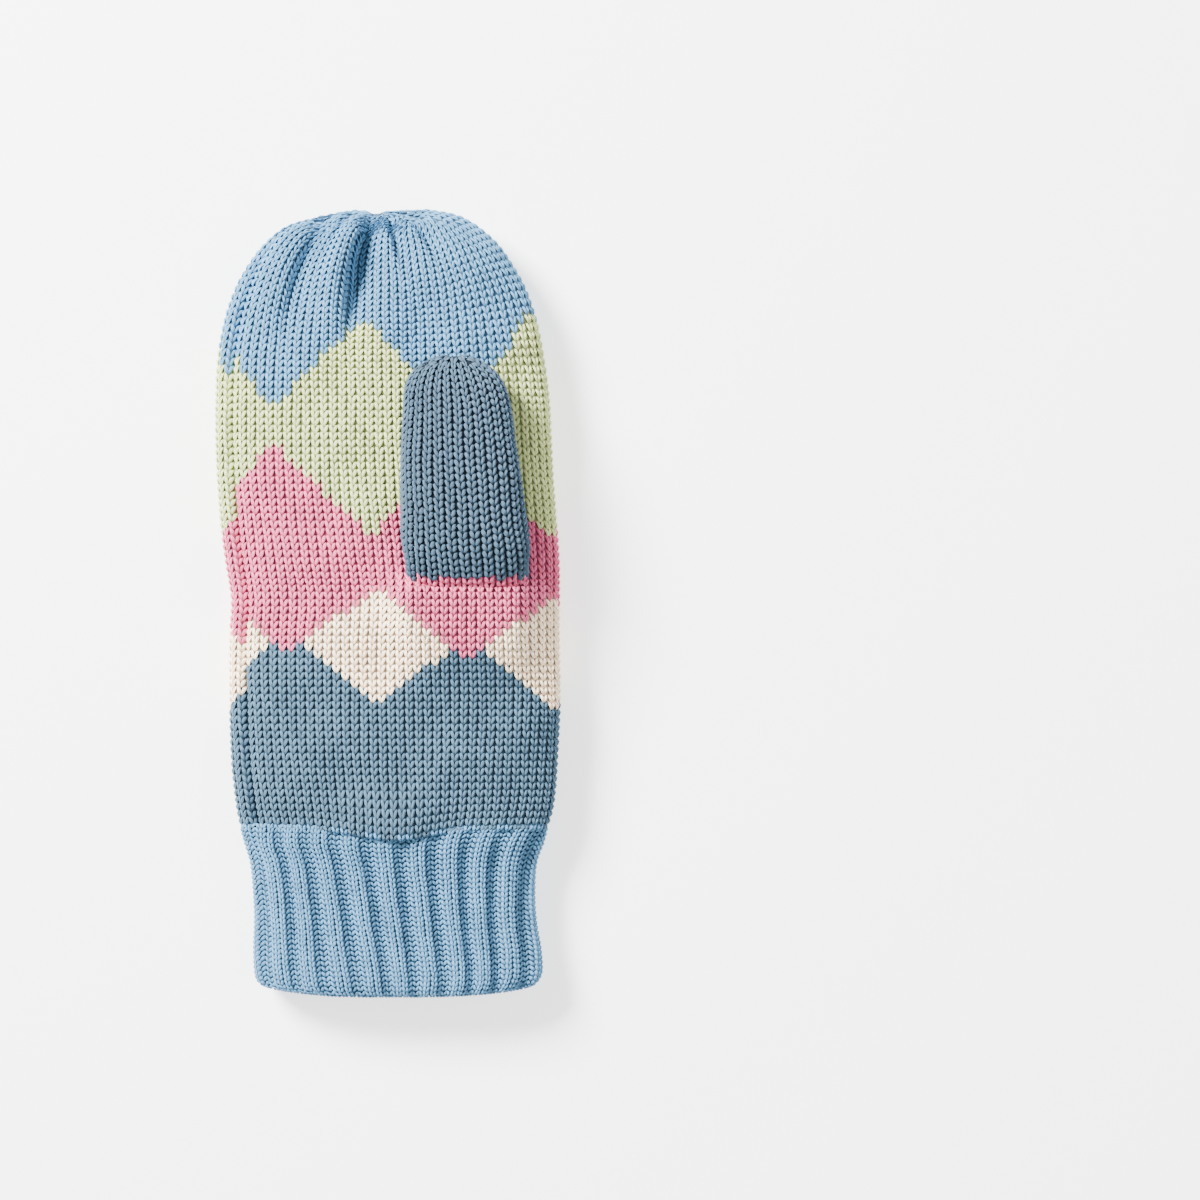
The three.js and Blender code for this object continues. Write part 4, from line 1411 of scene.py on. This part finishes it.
@dataclass
class DressedHand:
    """The knitted hand: its wall and its stitches, in five colours.

    Attributes:
        shape: Its surfaces.
        finishes: The yarn and ground materials of each yarn.
        fleece: The lining's material.
    """

    shape: HandShape
    finishes: dict[Yarn, tuple[bpy.types.Material, bpy.types.Material]]
    fleece: bpy.types.Material
    wales: int = 80
    courses: int = 94
    wale: float = 2.98
    course: float = 2.28
    zigzag_wales: float = 20.0
    seam_shift: float = 3.5
    rib_offset: int = 2
    picked_up: int = 1
    legs: tuple[YarnLeg, ...] = v_legs(0.01, 0.39, 0.7, 0.55, -0.5, 0.24, 0.36)

    def chart(self) -> NDArray[np.int64]:
        """Works out each stitch's yarn, courses by wales, as the highest band that it lies over."""
        course, wale = np.meshgrid(np.arange(self.courses), np.arange(self.wales), indexing="ij")
        yarns = list(Yarn)
        chart = np.full(course.shape, yarns.index(Yarn.SLATE))
        shifted = course + self.seam_shift * wale / self.wales
        for band in BANDS:
            chart[shifted > band.height(wale + 0.5, self.zigzag_wales)] = yarns.index(band.yarn)
        is_over_crest = (wale + self.rib_offset) % 4 % 3 == 0
        chart[(course < self.picked_up) & is_over_crest] = yarns.index(Yarn.SKY)
        return chart

    def thumb_hole(self, places: Array, margin: float) -> NDArray[np.bool_]:
        """Tells which places lie in the slit that the thumb comes out of.

        Args:
            places: The places, with a last axis of 3.
            margin: How far inside the thumb's outline they are to be, in millimetres.

        Returns:
            Whether each is within an ellipse round the slit, on the palm side.
        """
        thumb = self.shape.thumb
        base = self.shape.thumb_base_y
        half_x = 0.44 * thumb.width - margin
        half_y = 0.115 * thumb.length - margin
        middle_y = base + 0.09 * thumb.length
        x = (places[..., 0] - thumb.x) / half_x
        y = (places[..., 1] - middle_y) / half_y
        return (np.abs(x) ** 3 + np.abs(y) ** 3 < 1) & (places[..., 2] > self.shape.edge_height)

    def build(self) -> list[bpy.types.Object]:
        """Builds the wall and one piece of stitches for each yarn."""
        skin = self.shape.skin()
        cloth = KnitCloth(skin, self.wales, self.courses, self.wale, self.course, seed=11)
        chart = self.chart()
        _, _, places = cloth.middles()
        is_shown = ~self.thumb_hole(places, 4.2)
        is_shown[int(LAST_COURSE_SHARE * self.courses) :] = False
        pieces = [self.build_wall(skin, chart)]
        for number, yarn in enumerate(Yarn):
            parts = MeshParts()
            count = cloth.add_stitches((chart == number) & is_shown, self.legs, parts)
            piece = parts.make(f"hand_stitches_{yarn.value}", [self.finishes[yarn][0]])
            logging.info("%s: %d stitches", piece.name, count)
            pieces.append(piece)
        return pieces

    def build_wall(self, skin: Skin, chart: NDArray[np.int64]) -> bpy.types.Object:
        """Builds the loops behind the stitches and the lining as one closed wall.

        Args:
            skin: The outer side.
            chart: Each stitch's yarn.

        Returns:
            The wall.
        """
        rows = self.courses
        cols = 2 * self.wales
        v, u = np.meshgrid(np.linspace(0, 0.995, rows + 1), np.arange(cols) / cols, indexing="ij")
        outer = skin.lift(u, v, np.full_like(u, -GROUND_DEPTH))
        outer[..., 2] = np.maximum(outer[..., 2], LOWEST)
        inner = self.shape.hollow().lift(u, v, np.zeros_like(u))
        middles = (outer[:-1] + outer[1:]) / 2
        keep = ~self.thumb_hole(middles, 3.0)
        parts, counts = wall(outer, inner, keep, is_capped=True)
        below = np.minimum((v[:-1, 0] * self.courses).astype(int), self.courses - 1)
        # The outer side takes each yarn's ground material, darkened as painted shade.
        colours = np.repeat(chart[below], 2, axis=1)[keep]
        fleece = len(Yarn)
        parts.slots = [colours, *(np.full(count, fleece) for count in counts[1:3]), np.array([0]), np.array([fleece])]
        return parts.make("hand_wall", [*(self.finishes[yarn][1] for yarn in Yarn), self.fleece])


@dataclass
class DressedThumb:
    """The knitted thumb, slate with a few pink courses at its base.

    Attributes:
        shape: Its surfaces.
        finishes: The yarn and ground materials of each yarn.
        fleece: The lining's material.
        pink_reach: How far from its base it is pink, in millimetres.
    """

    shape: ThumbShape
    finishes: dict[Yarn, tuple[bpy.types.Material, bpy.types.Material]]
    fleece: bpy.types.Material
    wales: int = 26
    courses: int = 41
    wale: float = 3.75
    course: float = 2.3
    pink_reach: float = 4.7
    legs: tuple[YarnLeg, ...] = v_legs(0.03, 0.4, 0.7, 0.68, -0.52, 0.34, 0.52)

    def build(self) -> list[bpy.types.Object]:
        """Builds the wall and the stitches of both yarns."""
        skin = self.shape.skin()
        cloth = KnitCloth(skin, self.wales, self.courses, self.wale, self.course, seed=23)
        _, _, places = cloth.middles()
        is_pink = self.is_pink(places)
        is_shown = np.arange(self.courses)[:, None] < int(LAST_COURSE_SHARE * self.courses)
        pieces = [self.build_wall(skin)]
        for yarn, chosen in ((Yarn.PINK, is_pink), (Yarn.SLATE, ~is_pink)):
            parts = MeshParts()
            count = cloth.add_stitches(chosen & is_shown, self.legs, parts)
            piece = parts.make(f"thumb_stitches_{yarn.value}", [self.finishes[yarn][0]])
            logging.info("%s: %d stitches", piece.name, count)
            pieces.append(piece)
        return pieces

    def is_pink(self, places: Array) -> NDArray[np.bool_]:
        """Tells which places are near enough to the thumb's base to be pink."""
        return places[..., 1] < self.shape.hand.thumb_base_y + self.pink_reach

    def build_wall(self, skin: Skin) -> bpy.types.Object:
        """Builds the loops behind the stitches and the lining as one closed wall."""
        cols = 2 * self.wales
        v, u = np.meshgrid(np.linspace(0, 0.99, self.courses + 1), np.arange(cols) / cols, indexing="ij")
        outer = skin.lift(u, v, np.full_like(u, -GROUND_DEPTH))
        inner = self.shape.hollow().lift(u, v, np.zeros_like(u))
        keep = np.full((self.courses, cols), True)
        parts, counts = wall(outer, inner, keep, is_capped=True)
        # The outer side takes the pink or slate ground material, darkened as painted shade.
        outside = np.where(self.is_pink((outer[:-1] + outer[1:]) / 2), 0, 1).ravel()
        parts.slots = [outside, *(np.full(count, 2) for count in counts[1:3]), np.array([1]), np.array([2])]
        return parts.make("thumb_wall", [self.finishes[Yarn.PINK][1], self.finishes[Yarn.SLATE][1], self.fleece])


@dataclass
class DressedCuff:
    """The ribbed cuff: two knit wales, then two purl wales, twenty times round.

    Attributes:
        shape: Its surfaces.
        finishes: The yarn and ground materials of each yarn.
        fleece: The lining's material.
    """

    shape: CuffShape
    finishes: dict[Yarn, tuple[bpy.types.Material, bpy.types.Material]]
    fleece: bpy.types.Material
    courses: int = 37
    wale: float = 2.68
    course: float = 1.58
    knit_legs: tuple[YarnLeg, ...] = v_legs(0.03, 0.41, 0.78, 0.5, -0.4, 0.28, 0.36)
    purl_legs: tuple[YarnLeg, ...] = (
        YarnLeg((-0.54, -0.62), (0.04, 0.5), 0.5, -0.4, 0.2),
        YarnLeg((-0.04, 0.5), (0.54, -0.62), 0.5, -0.4, 0.2),
    )

    def build(self) -> list[bpy.types.Object]:
        """Builds the wall, the knit stitches of the crests and the purl stitches of the valleys."""
        skin = self.shape.skin()
        wales = 4 * self.shape.rib_count
        cloth = KnitCloth(skin, wales, self.courses, self.wale, self.course, seed=37)
        wale = np.broadcast_to(np.arange(wales), (self.courses, wales))
        is_knit = wale % 4 % 3 == 0
        pieces = [self.build_wall(skin, wales)]
        for stitch, chosen, legs in ((Stitch.KNIT, is_knit, self.knit_legs), (Stitch.PURL, ~is_knit, self.purl_legs)):
            parts = MeshParts()
            count = cloth.add_stitches(chosen, legs, parts)
            piece = parts.make(f"cuff_{stitch.value}_stitches", [self.finishes[Yarn.SKY][0]])
            logging.info("%s: %d stitches", piece.name, count)
            pieces.append(piece)
        return pieces

    def build_wall(self, skin: Skin, wales: int) -> bpy.types.Object:
        """Builds the loops behind the stitches and the lining as one closed wall."""
        cols = 2 * wales
        v, u = np.meshgrid(np.linspace(0.03, 1, self.courses + 1), np.arange(cols) / cols, indexing="ij")
        outer = skin.lift(u, v, np.full_like(u, -GROUND_DEPTH))
        outer[..., 2] = np.maximum(outer[..., 2], LOWEST)
        inner = self.shape.hollow().lift(u, v, np.zeros_like(u))
        keep = np.full((self.courses, cols), True)
        parts, counts = wall(outer, inner, keep, is_capped=False)
        # The outer side takes the cuff's ground material, darkened as painted shade.
        parts.slots = [np.zeros(counts[0], int), *(np.full(count, 1) for count in counts[1:])]
        return parts.make("cuff_wall", [self.finishes[Yarn.SKY][1], self.fleece])


# The studio


@dataclass
class Studio:
    """A plain pale floor, soft lights and a camera that looks straight down.

    Attributes:
        width: How much of the world the picture shows across, in metres.
        middle: The picture's middle, in metres.
    """

    width: float = 0.396
    middle: tuple[float, float] = (0.06996, 0.00066)
    focus_height: float = 0.011
    camera_height: float = 2.4
    sensor: float = 36.0
    floor_glow: float = 1.6

    def build(self) -> None:
        """Builds the floor, the lights, the sky and the camera."""
        self.build_floor()
        self.build_light("key", (-1.1, 1.0, 1.1), 0.7, 240.0)
        self.build_light("fill", (1.2, -0.2, 1.3), 1.2, 20.0)
        world = bpy.data.worlds.new("pale_sky")
        world.use_nodes = True
        background = world.node_tree.nodes["Background"]
        background.inputs["Color"].default_value = (1.0, 1.0, 1.0, 1.0)
        background.inputs["Strength"].default_value = 0.65
        bpy.context.scene.world = world
        camera = bpy.data.cameras.new("camera")
        camera.sensor_width = self.sensor
        camera.lens = self.sensor * self.camera_height / self.width
        stand = bpy.data.objects.new("camera", camera)
        stand.location = (*self.middle, self.focus_height + self.camera_height)
        bpy.context.scene.collection.objects.link(stand)
        bpy.context.scene.camera = stand

    def build_floor(self) -> None:
        """Builds the floor, a plane just under the mitten whose glow fades out to its edge."""
        mesh = bpy.data.meshes.new("floor")
        reach = 4.0
        corners = [(-reach, -reach, 0.0), (reach, -reach, 0.0), (reach, reach, 0.0), (-reach, reach, 0.0)]
        mesh.from_pydata(corners, [], [(0, 1, 2, 3)])
        graph = Graph.new("pale_floor")
        place = graph.node("ShaderNodeTexCoord", {}, {}, "Object")
        shrunk = graph.node("ShaderNodeMapping", {}, {"Vector": place, "Scale": (1 / reach, 1 / reach, 1.0)})
        glow = graph.node("ShaderNodeTexGradient", {"gradient_type": "SPHERICAL"}, {"Vector": shrunk})
        white = (0.97, 0.97, 0.97, 1.0)
        settings = {"Base Color": white, "Roughness": 0.9, "Emission Color": glow, "Emission Strength": self.floor_glow}
        surface = graph.node("ShaderNodeBsdfPrincipled", {}, settings)
        graph.node("ShaderNodeOutputMaterial", {}, {"Surface": surface})
        mesh.materials.append(graph.material)
        floor = bpy.data.objects.new("floor", mesh)
        bpy.context.scene.collection.objects.link(floor)

    def build_light(self, name: str, place: tuple[float, float, float], size: float, power: float) -> None:
        """Builds a square light that faces the mitten.

        Args:
            name: The light's name.
            place: Its place in metres.
            size: The length of its sides in metres.
            power: Its power in watts.
        """
        light = bpy.data.lights.new(name, "AREA")
        light.size = size
        light.energy = power
        lamp = bpy.data.objects.new(name, light)
        lamp.location = place
        lamp.rotation_euler = (-Vector(place)).to_track_quat("-Z", "Y").to_euler()
        bpy.context.scene.collection.objects.link(lamp)


def main() -> None:
    """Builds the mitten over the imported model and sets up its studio."""
    logging.basicConfig(level=logging.INFO, format="%(message)s")
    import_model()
    cuff_length = CuffShape.length
    join_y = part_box("cuff")[0].y / MM + cuff_length
    hand = HandShape(join_y, ThumbPlace())
    finishes = {yarn: finish.pair() for yarn, finish in YARNS.items()}
    thumb_finishes = finishes | {Yarn.SLATE: THUMB_SLATE.pair()}
    cuff_finishes = {Yarn.SKY: CUFF_SKY.pair()}
    fleece = FleeceFinish().make()
    dressed = (
        (DressedHand(hand, finishes, fleece), "hand_body", "knit_hand"),
        (DressedThumb(ThumbShape(hand), thumb_finishes, fleece), "thumb", "knit_thumb"),
        (DressedCuff(CuffShape(hand), cuff_finishes, fleece), "cuff", "knit_cuff"),
    )
    for sub_assembly, node, slot in dressed:
        for piece in sub_assembly.build():
            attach(piece, "root")
            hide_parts(node)
            logging.info("%s: %d triangles", piece.name, len(piece.data.loops) - 2 * len(piece.data.polygons))
    Studio().build()


if __name__ == "__main__":
    main()
